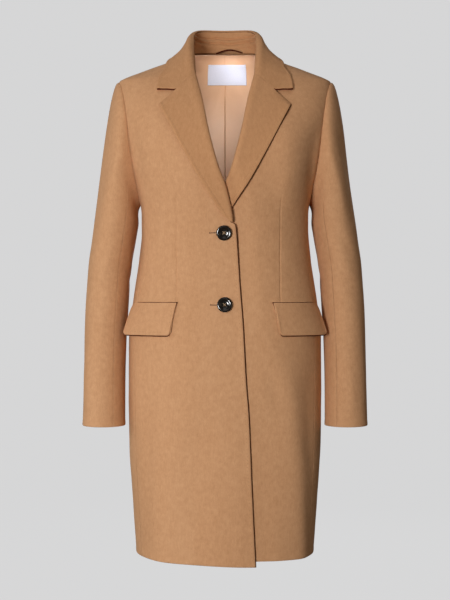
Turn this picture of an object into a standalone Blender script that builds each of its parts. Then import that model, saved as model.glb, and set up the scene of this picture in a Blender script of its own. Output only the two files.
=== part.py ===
"""A single-breasted wool coat, worn out into shape with nobody in it.

Metres, +Z up, front towards -Y, wearer's left at +X. The origin is at the base of the
neck, between the shoulders. Every panel is cut from one body surface, which is read by
an angle round the body (0 centre front, 90 side and shoulder ridge, 180 centre back)
and by a level (height). "Out" always means away from the centre line on the piece's own
side, so the same numbers make the right and the left piece.
"""

import math

import bmesh
import bpy
import numpy as np
from mathutils import Matrix, Vector

# Cloth
WALL = 0.0026  # wool with its backing
SLEEVE_WALL = 0.0022
TURNED_WALL = 0.0024  # lapels and collar
FLAP_WALL = 0.0030
LINING_WALL = 0.0010
SEAM_GAP = 0.0003
LAID_GAP = 0.0008  # between a laid piece and the faceted cloth below it

# Levels
HEM_LEVEL = -0.8870
OVER_HEM_LEVEL = -0.8945  # front corner of the right front, which hangs a little lower
UNDER_HEM_LEVEL = -0.8840
BREAK_LEVEL = -0.2994  # where the lapels start to roll
GORGE_LEVEL = -0.0377  # where lapel, collar and roll line meet
NECK_POINT_LEVEL = 0.0140
NAPE_LEVEL = 0.0270
LINING_HEM_LEVEL = -0.8600

# Armhole: an ellipse in angle and level
ARMHOLE_ANGLE = 90.0
ARMHOLE_HALF_ANGLE = 21.7
ARMHOLE_LEVEL = -0.1505
ARMHOLE_HALF_HEIGHT = 0.1115
ARMHOLE_SEAM_TURN = 136.2  # turn from the top at which the side seams meet it

# Grid sizes
SKIRT_ROWS = 16
WAIST_CLOSENESS = 1.2  # above 1, the rows lie closer towards the armhole
YOKE_ROWS = 9
BACK_NECK_ROWS = 3  # of the yoke, which end on the neckline
BODY_COLUMNS = 9
SIDE_COLUMNS = 5
CAP_ROWS = 6
SLEEVE_ROWS = 8
LAPEL_ROWS = 12
COLLAR_ROWS = 13  # on each side of the centre back

CAMEL = (0.53, 0.30, 0.16, 1.0)
CAMEL_TURNED = (0.47, 0.26, 0.13, 1.0)
PEACH = (0.66, 0.40, 0.25, 1.0)
WHITE = (0.85, 0.85, 0.90, 1.0)
HORN = (0.012, 0.009, 0.007, 1.0)


class Table:
    """A short table read by column name, with smooth values between its rows."""

    def __init__(self, columns, rows):
        self.columns = columns.split()
        self.rows = np.array(sorted(rows), float)

    def at(self, column, key):
        """The column's value at any key of the first column."""
        keys = self.rows[:, 0]
        values = self.rows[:, self.columns.index(column)]
        steps = np.diff(keys)
        slopes = np.diff(values) / steps
        same_way = slopes[:-1] * slopes[1:] > 0
        total = np.where(same_way, slopes[:-1] + slopes[1:], 1.0)
        inner = np.where(same_way, 2.0 * slopes[:-1] * slopes[1:] / total, 0.0)
        tangents = np.concatenate([slopes[:1], inner, slopes[-1:]])
        key = np.clip(key, keys[0], keys[-1])
        i = np.clip(np.searchsorted(keys, key) - 1, 0, len(steps) - 1)
        s = (key - keys[i]) / steps[i]
        return (
            values[i] * (1 + 2 * s) * (1 - s) ** 2
            + tangents[i] * steps[i] * s * (1 - s) ** 2
            + values[i + 1] * s**2 * (3 - 2 * s)
            - tangents[i + 1] * steps[i] * s**2 * (1 - s)
        )


# The body's rings, from hem to neck. Above -0.039 the half width is the shoulder ridge.
BODY = Table(
    "level half_width front_depth back_depth squareness",
    (
        (-0.9000, 0.1595, 0.1280, 0.1300, 2.30),
        (-0.8000, 0.1665, 0.1300, 0.1330, 2.30),
        (-0.7000, 0.1730, 0.1310, 0.1360, 2.30),
        (-0.6000, 0.1747, 0.1310, 0.1350, 2.30),
        (-0.5000, 0.1740, 0.1290, 0.1220, 2.30),
        (-0.4330, 0.1665, 0.1240, 0.1080, 2.35),
        (-0.3600, 0.1540, 0.1190, 0.0990, 2.40),
        (-0.3200, 0.1510, 0.1210, 0.1000, 2.40),
        (-0.2800, 0.1510, 0.1280, 0.1050, 2.50),
        (-0.2400, 0.1575, 0.1345, 0.1100, 2.65),
        (-0.2000, 0.1680, 0.1370, 0.1130, 2.80),
        (-0.1550, 0.1780, 0.1300, 0.1140, 2.95),
        (-0.1000, 0.1880, 0.1080, 0.1100, 3.00),
        (-0.0600, 0.1935, 0.0840, 0.1010, 2.80),
        (-0.0390, 0.1920, 0.0690, 0.0930, 2.55),
        (-0.0326, 0.1820, 0.0640, 0.0900, 2.45),
        (-0.0235, 0.1588, 0.0575, 0.0860, 2.40),
        (-0.0144, 0.1355, 0.0520, 0.0825, 2.35),
        (-0.0053, 0.1105, 0.0475, 0.0790, 2.30),
        (0.0140, 0.0680, 0.0400, 0.0700, 2.20),
        (0.0300, 0.0600, 0.0340, 0.0620, 2.20),
    ),
)

# Soft folds of the skirt: each runs from a top to a foot, in angle and level, and stands
# out by its rise. "side" is -1 for the wearer's right.
FOLDS = (
    # side, top_angle, top_level, foot_angle, foot_level, rise, half_width
    (1, 42.0, -0.500, 58.0, -0.880, 0.0050, 0.022),
    (1, 30.0, -0.560, 33.0, -0.880, -0.0035, 0.026),
    (-1, 40.0, -0.520, 48.0, -0.880, 0.0035, 0.026),
    (-1, 20.0, -0.600, 22.0, -0.880, -0.0025, 0.030),
    (1, 128.0, -0.480, 134.0, -0.880, 0.0045, 0.028),
    (-1, 130.0, -0.500, 138.0, -0.880, 0.0040, 0.028),
    (1, 152.0, -0.560, 156.0, -0.880, -0.0030, 0.028),
    (-1, 150.0, -0.540, 153.0, -0.880, -0.0035, 0.026),
)
FOLD_FADE = 0.10  # how far down a fold takes to reach its full rise

# Front edges, from hem to break: how far each front runs past the centre line.
OVER_EDGE = Table(
    "level past",
    (
        (-0.8945, 0.0532),
        (-0.7680, 0.0469),
        (-0.6356, 0.0412),
        (-0.5704, 0.0361),
        (-0.4742, 0.0309),
        (-0.4038, 0.0254),
        (-0.3471, 0.0218),
        (-0.3025, 0.0177),
        (BREAK_LEVEL, 0.0150),
    ),
)
UNDER_EDGE = Table(
    "level past",
    (
        (-0.8945, 0.0330),
        (-0.6000, 0.0250),
        (-0.4000, 0.0200),
        (BREAK_LEVEL, 0.0150),
    ),
)

# Roll line and, above the gorge, the front of the neckline: distance out from the centre.
ROLL = Table(
    "level out",
    (
        (-0.2994, -0.0120),
        (-0.2668, -0.0055),
        (-0.2343, 0.0030),
        (-0.2069, 0.0133),
        (-0.1408, 0.0307),
        (-0.0867, 0.0415),
        (-0.0554, 0.0494),
        (-0.0377, 0.0537),
        (-0.0180, 0.0585),
        (0.0000, 0.0640),
        (0.0140, 0.0680),
    ),
)

# How deep the left front lies below the body surface where the right front covers it.
UNDER_DEPTH = Table(
    "level depth",
    (
        (-0.9000, 0.0037),
        (-0.4200, 0.0037),
        (-0.3200, 0.0060),
        (-0.2650, 0.0095),
        (-0.2250, 0.0095),
        (-0.1700, 0.0060),
        (-0.1100, 0.0000),
        (0.0300, 0.0000),
    ),
)
UNDER_BLEND = (1.5, 17.0)  # degrees past the covering edge at which it starts and ends

# Seams between front, side and back panels, from hem to armhole.
SIDE_SEAMS = Table(
    "level front_angle back_angle",
    (
        (-0.9000, 67.5, 113.0),
        (-0.6500, 68.0, 112.0),
        (-0.4950, 68.8, 110.0),
        (-0.3600, 71.0, 107.0),
        (-0.2310, 75.0, 105.0),
    ),
)

# Sleeve below the armpit, and the handles that shape its head: turn 0 is the outer side
# and the armhole's top, 90 the front, 180 the inner side and the armhole's foot.
SLEEVE = Table(
    "level out forward half_width half_depth",
    (
        (-0.3000, 0.1985, -0.0040, 0.0402, 0.0650),
        (-0.3300, 0.2030, -0.0040, 0.0396, 0.0630),
        (-0.3650, 0.2085, -0.0030, 0.0391, 0.0600),
        (-0.4000, 0.2115, -0.0020, 0.0388, 0.0575),
        (-0.4400, 0.2140, 0.0010, 0.0388, 0.0550),
        (-0.5000, 0.2165, 0.0070, 0.0380, 0.0520),
        (-0.5800, 0.2180, 0.0160, 0.0380, 0.0475),
        (-0.6580, 0.2178, 0.0250, 0.0382, 0.0440),
    ),
)
SLEEVE_TOP_LEVEL = -0.3000
CUFF_LEVEL = -0.6580
SLEEVE_HEAD = Table(
    "turn start_out start_forward start_up end_reach",
    (
        (0.0, 0.0140, 0.0000, 0.0010, 0.170),
        (60.0, 0.0190, 0.0080, -0.0020, 0.120),
        (90.0, 0.0210, 0.0120, -0.0060, 0.085),
        (136.0, 0.0150, 0.0080, -0.0100, 0.035),
        (180.0, 0.0080, 0.0000, -0.0110, 0.012),
    ),
)

# Lapel: outer edge from break to peak, and the section across it.
LAPEL_EDGE = Table(
    "rise out level",
    (
        (0.00, -0.0017, -0.2939),
        (0.20, 0.0230, -0.2578),
        (0.55, 0.0625, -0.1917),
        (1.00, 0.1151, -0.0923),
    ),
)
LAPEL_START = 0.06
ROLL_HEIGHT = (0.0040, 0.0064)  # of the wall's middle over the cloth, at break and at gorge
EDGE_HEIGHT = 0.0031
ROLL_SECTION = (
    # past the front's rim, share of the roll height, fixed height
    (-0.0020, 0.00, -0.0013),
    (-0.0024, 0.34, 0.0),
    (-0.0010, 0.80, 0.0),
    (0.0025, 1.00, 0.0),
)
ROLL_TURNED = (0.0, 0.0, 0.5, 1.0)  # how far each has turned from stand to fall
FALL_SHARES = (0.25, 0.50, 0.76, 1.00)  # across the rest of the width

# Collar, by its turn from the centre back (0) to the gorge (1): the stand's top, the
# neckline below it, and the fall's outer edge on the body surface.
STAND_TOP = Table(
    "turn out y z",
    (
        (0.00, 0.0000, 0.0640, 0.0670),
        (0.20, 0.0260, 0.0600, 0.0668),
        (0.35, 0.0440, 0.0480, 0.0645),
        (0.48, 0.0545, 0.0270, 0.0565),
        (0.60, 0.0588, 0.0020, 0.0415),
        (0.72, 0.0585, -0.0200, 0.0210),
        (0.84, 0.0568, -0.0400, 0.0005),
        (0.92, 0.0552, -0.0540, -0.0185),
        (1.00, 0.0537, -0.0669, -0.0377),
    ),
)
NECKLINE = Table(
    "turn angle level",
    (
        (0.00, 180.0, 0.0270),
        (0.20, 155.0, 0.0258),
        (0.35, 133.0, 0.0230),
        (0.48, 112.0, 0.0185),
        (0.60, 90.0, 0.0140),
        (0.72, 66.5, 0.0075),
        (0.84, 54.8, -0.0060),
        (0.92, 47.0, -0.0200),
        (1.00, 38.8, -0.0377),
    ),
)
FALL_EDGE = Table(
    "turn angle level",
    (
        (0.00, 180.0, 0.0080),
        (0.28, 145.0, 0.0055),
        (0.48, 115.0, 0.0035),
        (0.62, 90.0, 0.0018),
        (0.76, 69.0, -0.0170),
        (0.88, 62.7, -0.0380),
        (1.00, 57.4, -0.0606),
    ),
)
STAND_END_TURN = 0.80
BACK_NECK_TURN = 0.60  # of the neckline, where it meets the shoulder seam
STAND_LEAN = 0.004  # keeps the stand's direction steady where its height runs out
STAND_FOOT_RISE = 0.0014
COLLAR_END_POWER = 9.0  # how fast the collar's end takes the gorge's line

# Pocket flap: its corners on the body surface, and how far it stands off.
FLAP_TOP_ANGLES = (36.4, 77.0)
FLAP_FOOT_ANGLES = (39.5, 75.0)
FLAP_TOP_LEVEL = -0.4380
FLAP_FOOT_LEVEL = -0.4950
FLAP_TOP_LIFT = 0.0021
FLAP_FOOT_LIFTS = (0.0040, 0.0150)
FLAP_CORNER = 0.007
FLAP_CORNER_DEPTH = 0.8  # of its width
FLAP_LENGTH = 0.118
FLAP_COLUMNS = 10
FLAP_ROWS = 5

BUTTONS = {"button_upper": (-0.0017, -0.3171), "button_lower": (-0.0005, -0.4416)}
BUTTON_RADIUS = 0.0133
BUTTON_PROFILE = (
    # radius as a share, height above the cloth
    (0.00, 0.0042),
    (0.48, 0.0042),
    (0.62, 0.0052),
    (0.86, 0.0060),
    (0.97, 0.0054),
    (1.00, 0.0044),
    (0.93, 0.0031),
    (0.60, 0.0022),
    (0.24, 0.0022),
    (0.20, 0.0006),
    (0.00, 0.0006),
)
BUTTON_SIDES = 32
BUTTON_HOLE_RADIUS = 0.0011
BUTTON_HOLE_OFFSET = 0.0024

LABEL_OUT = (-0.0330, 0.0410)
LABEL_LEVELS = (-0.0260, 0.0100)
LABEL_WALL = 0.0006
LABEL_COLUMNS = 6
LABEL_ROWS = 3
LABEL_GAP = 0.0017

LOOP_ENDS = (-0.0175, 0.0345)
LOOP_RADIUS = 0.0013
LOOP_RISE = 0.0065
LOOP_FOOT_Z = 0.0265
LOOP_STAND_OFF = 0.0030
LOOP_POINTS = 15


def spread(start, end, steps):
    return np.linspace(start, end, steps + 1)


def unit(vectors):
    return vectors / np.linalg.norm(vectors, axis=-1, keepdims=True)


def smooth_step(low, high, value):
    s = np.clip((value - low) / (high - low), 0.0, 1.0)
    return s * s * (3.0 - 2.0 * s)


def fold_rise(side, angle, level, radius):
    """How far the soft folds push the cloth out at a place."""
    rise = np.zeros_like(radius)
    for fold_side, top_angle, top_level, foot_angle, foot_level, height, width in FOLDS:
        share = np.clip((level - top_level) / (foot_level - top_level), 0.0, 1.0)
        middle = top_angle + (foot_angle - top_angle) * share
        across = np.radians(angle - side * fold_side * middle) * radius / width
        down = smooth_step(0.0, FOLD_FADE, top_level - level)
        rise = rise + height * down * np.exp(-across * across)
    return rise


def body(side, angle, level):
    """Points of the body surface, out to +X: the caller mirrors the right side."""
    angle, level = np.broadcast_arrays(
        np.asarray(angle, float), np.asarray(level, float)
    )
    sine = np.sin(np.radians(angle))
    cosine = np.cos(np.radians(angle))
    depth = np.where(
        cosine > 0, BODY.at("front_depth", level), BODY.at("back_depth", level)
    )
    power = BODY.at("squareness", level)
    width = BODY.at("half_width", level)
    radius = (np.abs(sine / width) ** power + np.abs(cosine / depth) ** power) ** (
        -1.0 / power
    )
    radius = radius + fold_rise(side, angle, level, radius)
    return np.stack([radius * sine, -radius * cosine, level], axis=-1)


def body_normal(side, angle, level):
    """Unit normals of the body surface, pointing out of the coat."""
    angle_step, level_step = 0.5, 0.0015
    round_body = body(side, angle + angle_step, level) - body(
        side, angle - angle_step, level
    )
    up_body = body(side, angle, level + level_step) - body(
        side, angle, level - level_step
    )
    return unit(np.cross(round_body, up_body))


ON_BACK = (269.9, 90.1)  # the same search, over the back


def angle_at(side, out, level, ends=(-89.9, 89.9)):
    """The angle, on the front unless told, at which the body surface lies this far out."""
    out, level = np.broadcast_arrays(np.asarray(out, float), np.asarray(level, float))
    low = np.full(out.shape, ends[0])
    high = np.full(out.shape, ends[1])
    for _ in range(40):
        middle = (low + high) / 2
        short = body(side, middle, level)[..., 0] < out
        low = np.where(short, middle, low)
        high = np.where(short, high, middle)
    return (low + high) / 2


def cover_angle(level):
    """Where the right front's edge lies, as an angle on the left front's side."""
    past = np.where(
        level < BREAK_LEVEL, OVER_EDGE.at("past", level), -ROLL.at("out", level)
    )
    return angle_at(1, past, level)


def front_sink(side, angle, level):
    """How deep the left front lies below the body surface; the right one lies on it."""
    if side < 0:
        return np.zeros(np.broadcast(angle, level).shape)
    start, end = UNDER_BLEND
    cover = cover_angle(level)
    under = 1.0 - smooth_step(cover + start, cover + end, angle)
    return UNDER_DEPTH.at("depth", level) * under


def on_front(side, angle, level, height=0.0):
    """Points at a height over the front's cloth."""
    lift = height - front_sink(side, angle, level)
    return body(side, angle, level) + lift[..., None] * body_normal(side, angle, level)


def new_object(name, mesh, collection, colour, roughness):
    obj = bpy.data.objects.new(name, mesh)
    material = bpy.data.materials.new(name)
    material.diffuse_color = colour
    material.use_nodes = True
    shader = material.node_tree.nodes["Principled BSDF"]
    shader.inputs["Base Color"].default_value = colour
    shader.inputs["Roughness"].default_value = roughness
    obj.data.materials.append(material)
    collection.objects.link(obj)
    return obj


def cloth(name, collection, outer, inner, side, colour=CAMEL, roughness=0.9):
    """A closed wall between two grids of points: a grid, extruded to its inner face."""
    rows, columns = outer.shape[0] - 1, outer.shape[1] - 1
    mesh_maker = bmesh.new()
    bmesh.ops.create_grid(
        mesh_maker, x_segments=columns, y_segments=rows, size=1.0
    )
    row_of = mesh_maker.verts.layers.int.new("row")
    column_of = mesh_maker.verts.layers.int.new("column")
    for vertex in mesh_maker.verts:
        vertex[row_of] = round((vertex.co.y + 1.0) / 2.0 * rows)
        vertex[column_of] = round((vertex.co.x + 1.0) / 2.0 * columns)
    made = bmesh.ops.extrude_face_region(
        mesh_maker, geom=mesh_maker.faces[:], use_keep_orig=True
    )
    inner_vertices = {v for v in made["geom"] if isinstance(v, bmesh.types.BMVert)}
    for vertex in mesh_maker.verts:
        points = inner if vertex in inner_vertices else outer
        x, y, z = points[vertex[row_of], vertex[column_of]]
        vertex.co = (side * x, y, z)
    bmesh.ops.recalc_face_normals(mesh_maker, faces=mesh_maker.faces[:])
    if mesh_maker.calc_volume(signed=True) < 0:
        bmesh.ops.reverse_faces(mesh_maker, faces=mesh_maker.faces[:])
    bmesh.ops.triangulate(
        mesh_maker, faces=mesh_maker.faces[:], quad_method="SHORT_EDGE"
    )
    mesh = bpy.data.meshes.new(name)
    mesh_maker.to_mesh(mesh)
    mesh_maker.free()
    mesh.shade_smooth()
    mesh.set_sharp_from_angle(angle=math.radians(40))
    return new_object(name, mesh, collection, colour, roughness)


def drawn_in(grid, distance=SEAM_GAP / 2):
    """The grid with its four edges drawn in, to leave the seams' gap."""
    grid = grid.copy()
    grid[0] += distance * unit(grid[1] - grid[0])
    grid[-1] += distance * unit(grid[-2] - grid[-1])
    grid[:, 0] += distance * unit(grid[:, 1] - grid[:, 0])
    grid[:, -1] += distance * unit(grid[:, -2] - grid[:, -1])
    return grid


def both_faces(middle, wall):
    """Outer and inner faces of a wall, from the grid of its middle."""
    along = np.gradient(middle, axis=0)
    across = np.gradient(middle, axis=1)
    normal = unit(np.cross(across, along))
    return middle + normal * wall / 2, middle - normal * wall / 2


def armhole(turn):
    """Angle and level of the armhole's edge; turn 0 is its top and 90 its front."""
    turn = np.radians(turn)
    angle = ARMHOLE_ANGLE - ARMHOLE_HALF_ANGLE * np.sin(turn)
    return angle, ARMHOLE_LEVEL + ARMHOLE_HALF_HEIGHT * np.cos(turn)


def ruled(inner_edge, outer_edge, columns):
    """Angle and level grids, ruled from the edge nearest the centre line to the other."""
    share = spread(0.0, 1.0, columns)
    grids = [
        np.asarray(inner)[:, None] * (1 - share) + np.asarray(outer)[:, None] * share
        for inner, outer in zip(inner_edge, outer_edge)
    ]
    return grids[0], grids[1]


def skirt_levels(hem):
    """Row levels from the hem to the foot of the armhole, closer at the waist."""
    _, seam_level = armhole(ARMHOLE_SEAM_TURN)
    share = 1 - (1 - spread(0.0, 1.0, SKIRT_ROWS)) ** WAIST_CLOSENESS
    return hem + (seam_level - hem) * share


def side_edge(seam, mirrored):
    """A front's or back's outer edge: the side seam, then the armhole to its top."""
    hem_to_armhole = skirt_levels(HEM_LEVEL)
    turns = spread(ARMHOLE_SEAM_TURN, 0.0, YOKE_ROWS)[1:]
    angles, levels = armhole(turns)
    if mirrored:
        angles = 2 * ARMHOLE_ANGLE - angles
    return (
        np.concatenate([SIDE_SEAMS.at(seam, hem_to_armhole), angles]),
        np.concatenate([hem_to_armhole, levels]),
    )


def front_grid(side):
    """Angle and level grids of a front: its edge, roll line and neckline to the side."""
    hem = OVER_HEM_LEVEL if side < 0 else UNDER_HEM_LEVEL
    edge_table = OVER_EDGE if side < 0 else UNDER_EDGE
    lower = skirt_levels(hem)
    upper = spread(lower[-1], NECK_POINT_LEVEL, YOKE_ROWS)[1:]
    levels = np.concatenate([lower, upper])
    out = np.where(
        levels < BREAK_LEVEL, -edge_table.at("past", levels), ROLL.at("out", levels)
    )
    angles = angle_at(side, out, levels)
    angles[-1] = ARMHOLE_ANGLE
    return ruled((angles, levels), side_edge("front_angle", False), BODY_COLUMNS)


def back_grid():
    """Angle and level grids of a back: centre seam and neckline to the side."""
    lower = skirt_levels(HEM_LEVEL)
    centre_rows = YOKE_ROWS - BACK_NECK_ROWS
    centre = spread(lower[-1], NAPE_LEVEL, centre_rows)[1:]
    turns = spread(0.0, BACK_NECK_TURN, BACK_NECK_ROWS)[1:]
    levels = np.concatenate([lower, centre, NECKLINE.at("level", turns)])
    angles = np.concatenate(
        [np.full(len(lower) + len(centre), 180.0), NECKLINE.at("angle", turns)]
    )
    return ruled((angles, levels), side_edge("back_angle", True), BODY_COLUMNS)


def side_grid():
    """Angle and level grids of a side panel, whose top row is the armhole's foot."""
    levels = skirt_levels(HEM_LEVEL)
    angle, level = ruled(
        (SIDE_SEAMS.at("front_angle", levels), levels),
        (SIDE_SEAMS.at("back_angle", levels), levels),
        SIDE_COLUMNS,
    )
    turns = spread(ARMHOLE_SEAM_TURN, 360 - ARMHOLE_SEAM_TURN, SIDE_COLUMNS)
    top_angle, top_level = armhole(turns)
    share = spread(0.0, 1.0, SKIRT_ROWS)[:, None] ** 6
    angle = angle + share * (top_angle - angle[-1])
    level = level + share * (top_level - level[-1])
    return angle, level


def make_fronts(collection):
    for side, name in ((-1, "front_right"), (1, "front_left")):
        angle, level = front_grid(side)
        outer = drawn_in(on_front(side, angle, level))
        inner = drawn_in(on_front(side, angle, level, np.full(angle.shape, -WALL)))
        cloth(name, collection, outer, inner, side)


def make_panels(collection, name, grid):
    for side, word in ((-1, "right"), (1, "left")):
        angle, level = grid
        outer = body(side, angle, level)
        inner = outer - WALL * body_normal(side, angle, level)
        cloth(f"{name}_{word}", collection, drawn_in(outer), drawn_in(inner), side)


def sleeve_turns():
    """Turns round the armhole at the panels' own points, from inner front to inner back."""
    front = spread(ARMHOLE_SEAM_TURN, 0.0, YOKE_ROWS)
    foot = spread(ARMHOLE_SEAM_TURN, 360 - ARMHOLE_SEAM_TURN, SIDE_COLUMNS)
    top_sleeve = np.concatenate([front[1:], -front[1:-1][::-1]])
    under_sleeve = np.concatenate([[front[1]], foot, [360 - front[1]]])
    return top_sleeve, under_sleeve


def sleeve_point(side, turn, row):
    """The sleeve's outer surface: rows below CAP_ROWS are its head, the rest its arm."""
    turn_cosine = np.cos(np.radians(turn))
    turn_sine = np.sin(np.radians(turn))

    def ring(level):
        return np.stack(
            [
                SLEEVE.at("out", level) + SLEEVE.at("half_width", level) * turn_cosine,
                -SLEEVE.at("forward", level)
                - SLEEVE.at("half_depth", level) * turn_sine,
                np.full(turn.shape, level),
            ],
            axis=-1,
        )

    if row >= CAP_ROWS:
        share = (row - CAP_ROWS) / SLEEVE_ROWS
        return ring(SLEEVE_TOP_LEVEL + (CUFF_LEVEL - SLEEVE_TOP_LEVEL) * share)
    angle, level = armhole(turn)
    start = body(side, angle, level) + SEAM_GAP * body_normal(side, angle, level)
    end = ring(SLEEVE_TOP_LEVEL)
    down = unit(ring(SLEEVE_TOP_LEVEL - 0.01) - end)
    from_top = np.degrees(np.arccos(np.clip(turn_cosine, -1, 1)))
    out_handle = np.stack(
        [
            SLEEVE_HEAD.at("start_out", from_top),
            -SLEEVE_HEAD.at("start_forward", from_top) * np.sign(turn_sine),
            SLEEVE_HEAD.at("start_up", from_top),
        ],
        axis=-1,
    )
    down_handle = down * SLEEVE_HEAD.at("end_reach", from_top)[..., None]
    s = row / CAP_ROWS
    return (
        start * (1 - s) ** 3
        + (start + out_handle) * 3 * s * (1 - s) ** 2
        + (end - down_handle) * 3 * s**2 * (1 - s)
        + end * s**3
    )


def sleeve_grids(side, turns):
    """Outer and inner faces of a stretch of sleeve."""
    step = 1.0
    rows = range(CAP_ROWS + SLEEVE_ROWS + 1)
    outer = np.stack([sleeve_point(side, turns, row) for row in rows])
    before = np.stack([sleeve_point(side, turns - step, row) for row in rows])
    after = np.stack([sleeve_point(side, turns + step, row) for row in rows])
    down = np.gradient(outer, axis=0)
    normal = unit(np.cross(after - before, -down))
    # Above the armhole's middle the cloth faces up as well as out.
    level = np.minimum(outer[..., 2], ARMHOLE_LEVEL)
    centre = np.stack(
        [SLEEVE.at("out", level), -SLEEVE.at("forward", level), level], axis=-1
    )
    facing = np.sum((outer - centre) * normal, axis=-1, keepdims=True)
    normal = np.where(facing < 0, -normal, normal)
    return outer, outer - SLEEVE_WALL * normal


def make_sleeves(collection):
    for side, word in ((-1, "right"), (1, "left")):
        for name, turns in zip(("top_sleeve", "under_sleeve"), sleeve_turns()):
            outer, inner = sleeve_grids(side, turns)
            cloth(f"{name}_{word}", collection, drawn_in(outer), drawn_in(inner), side)


def lapel_row(side, rise):
    """The lapel's wall middle along one row, from the roll line to its outer edge."""
    roll_level = BREAK_LEVEL + (GORGE_LEVEL - BREAK_LEVEL) * rise
    start = np.array([ROLL.at("out", roll_level), roll_level])
    end = np.array([LAPEL_EDGE.at("out", rise), LAPEL_EDGE.at("level", rise)])
    width = np.linalg.norm(end - start)
    low, high = ROLL_HEIGHT
    roll_height = low + (high - low) * rise
    reaches = [past for past, _, _ in ROLL_SECTION]
    heights = [share * roll_height + fixed for _, share, fixed in ROLL_SECTION]
    for share in FALL_SHARES:
        reaches.append(reaches[3] + (width - reaches[3]) * share)
        heights.append(roll_height + (EDGE_HEIGHT - roll_height) * share)
    places = start + np.array(reaches)[:, None] * (end - start) / width
    angle = angle_at(side, places[:, 0], places[:, 1])
    return on_front(side, angle, places[:, 1], np.array(heights))


def make_lapels(collection):
    for side, word in ((-1, "right"), (1, "left")):
        rises = spread(LAPEL_START, 1.0, LAPEL_ROWS)
        middle = np.stack([lapel_row(side, rise) for rise in rises])
        outer, inner = both_faces(middle, TURNED_WALL)
        cloth(
            f"lapel_{word}", collection, drawn_in(outer), drawn_in(inner), side,
            CAMEL_TURNED,
        )


def read_turns(table, turns, *columns):
    return np.stack([table.at(column, turns) for column in columns], axis=-1)


def clear_of_body(points, clearance):
    """The points, pushed out where they come nearer than this to the body surface."""
    for _ in range(4):
        angle = np.degrees(np.arctan2(points[..., 0], -points[..., 1]))
        level = points[..., 2]
        surface = body(1, angle, level)
        normal = body_normal(1, angle, level)
        height = np.sum((points - surface) * normal, axis=-1)
        push = np.maximum(clearance - height, 0.0)
        points = points + push[..., None] * normal
    return points


def collar_end():
    """The fall's front end: the gorge seam, then the free edge to the collar's point."""
    gorge = lapel_row(-1, 1.0)
    along = unit(lapel_row(-1, 1.0) - lapel_row(-1, 0.97))
    gorge = gorge + SEAM_GAP * along
    sewn = len(ROLL_SECTION) + 2
    angle = FALL_EDGE.at("angle", 1.0)
    level = FALL_EDGE.at("level", 1.0)
    tip = body(-1, angle, level) + EDGE_HEIGHT * body_normal(-1, angle, level)
    free = [gorge[sewn - 1] + (tip - gorge[sewn - 1]) * share for share in (0.5, 1.0)]
    return np.concatenate([gorge[:sewn], free])


def facing_out(vectors, points):
    """Unit vectors turned to point away from the neck's axis."""
    sign = np.sum(vectors[:, :2] * points[:, :2], axis=-1, keepdims=True)
    return unit(np.where(sign < 0, -vectors, vectors))


def square_to(vectors, along):
    """Unit vectors with their share along a direction taken out."""
    along = unit(along)
    return unit(vectors - np.sum(vectors * along, axis=-1, keepdims=True) * along)


def stand_frame(turns):
    """The collar stand's outer top and foot, its way up and its way out."""
    top = read_turns(STAND_TOP, turns, "out", "y", "z")
    angle, level = NECKLINE.at("angle", turns), NECKLINE.at("level", turns)
    foot = body(1, angle, level)
    lean = STAND_LEAN * body_normal(1, angle, level)
    tangent = np.gradient(top, axis=0)
    tangent[0] = (1.0, 0.0, 0.0)
    up = square_to(top - foot + lean, tangent)
    return top, foot, up, facing_out(np.cross(up, tangent), top), tangent


def collar_fall_side():
    """The fall's wall middle from the centre back to the front end, on one side."""
    turns = spread(0.0, 1.0, COLLAR_ROWS)
    top, _, up, stand_outward, tangent = stand_frame(turns)
    edge_angle = FALL_EDGE.at("angle", turns)
    edge_level = FALL_EDGE.at("level", turns)
    edge = body(1, edge_angle, edge_level)
    fall = edge - top
    width = np.linalg.norm(fall, axis=-1, keepdims=True)
    down = fall / width
    outward = facing_out(np.cross(down, tangent), top)
    columns = []
    roll_height = ROLL_HEIGHT[1]
    for (past, share, fixed), turned in zip(ROLL_SECTION, ROLL_TURNED):
        over = unit(square_to(down, tangent) * turned - up * (1 - turned))
        away = unit(outward * turned + stand_outward * (1 - turned))
        columns.append(top + past * over + (share * roll_height + fixed) * away)
    start = ROLL_SECTION[-1][0]
    for share in FALL_SHARES:
        height = roll_height + (EDGE_HEIGHT - roll_height) * share
        columns.append(top + (start + (width - start) * share) * down + height * outward)
    middle = np.stack(columns, axis=1)
    cleared = clear_of_body(middle[:, 4:], EDGE_HEIGHT)
    middle = np.concatenate([middle[:, :4], cleared], axis=1)
    pull = (turns**COLLAR_END_POWER)[:, None, None]
    return middle + pull * (collar_end() - middle[-1])


def both_sides(one_side):
    """Rows from one end round the centre back to the other, from one side's rows."""
    mirrored = one_side[:0:-1] * np.array([-1.0, 1.0, 1.0])
    return np.concatenate([mirrored, one_side])


def make_collar(collection):
    middle = both_sides(collar_fall_side())
    outer, inner = both_faces(middle, TURNED_WALL)
    cloth("collar_fall", collection, outer, inner, 1, CAMEL_TURNED)

    turns = spread(0.0, 1.0, COLLAR_ROWS)
    top, foot, up, outward, _ = stand_frame(turns)
    normal = body_normal(1, NECKLINE.at("angle", turns), NECKLINE.at("level", turns))
    rise = SEAM_GAP + STAND_FOOT_RISE * np.clip(normal[:, 2:], 0.0, 1.0)
    foot = foot - outward * WALL / 2 + rise * np.array([0.0, 0.0, 1.0])
    top = top - outward * WALL / 2 - up * SEAM_GAP
    made = turns < STAND_END_TURN
    foot, top = foot[made], top[made]
    shares = spread(0.0, 1.0, 3)[None, :, None]
    middle = foot[:, None] * (1 - shares) + top[:, None] * shares
    outer, inner = both_faces(both_sides(middle), TURNED_WALL)
    cloth("collar_stand", collection, outer, inner, 1, CAMEL_TURNED)


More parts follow.
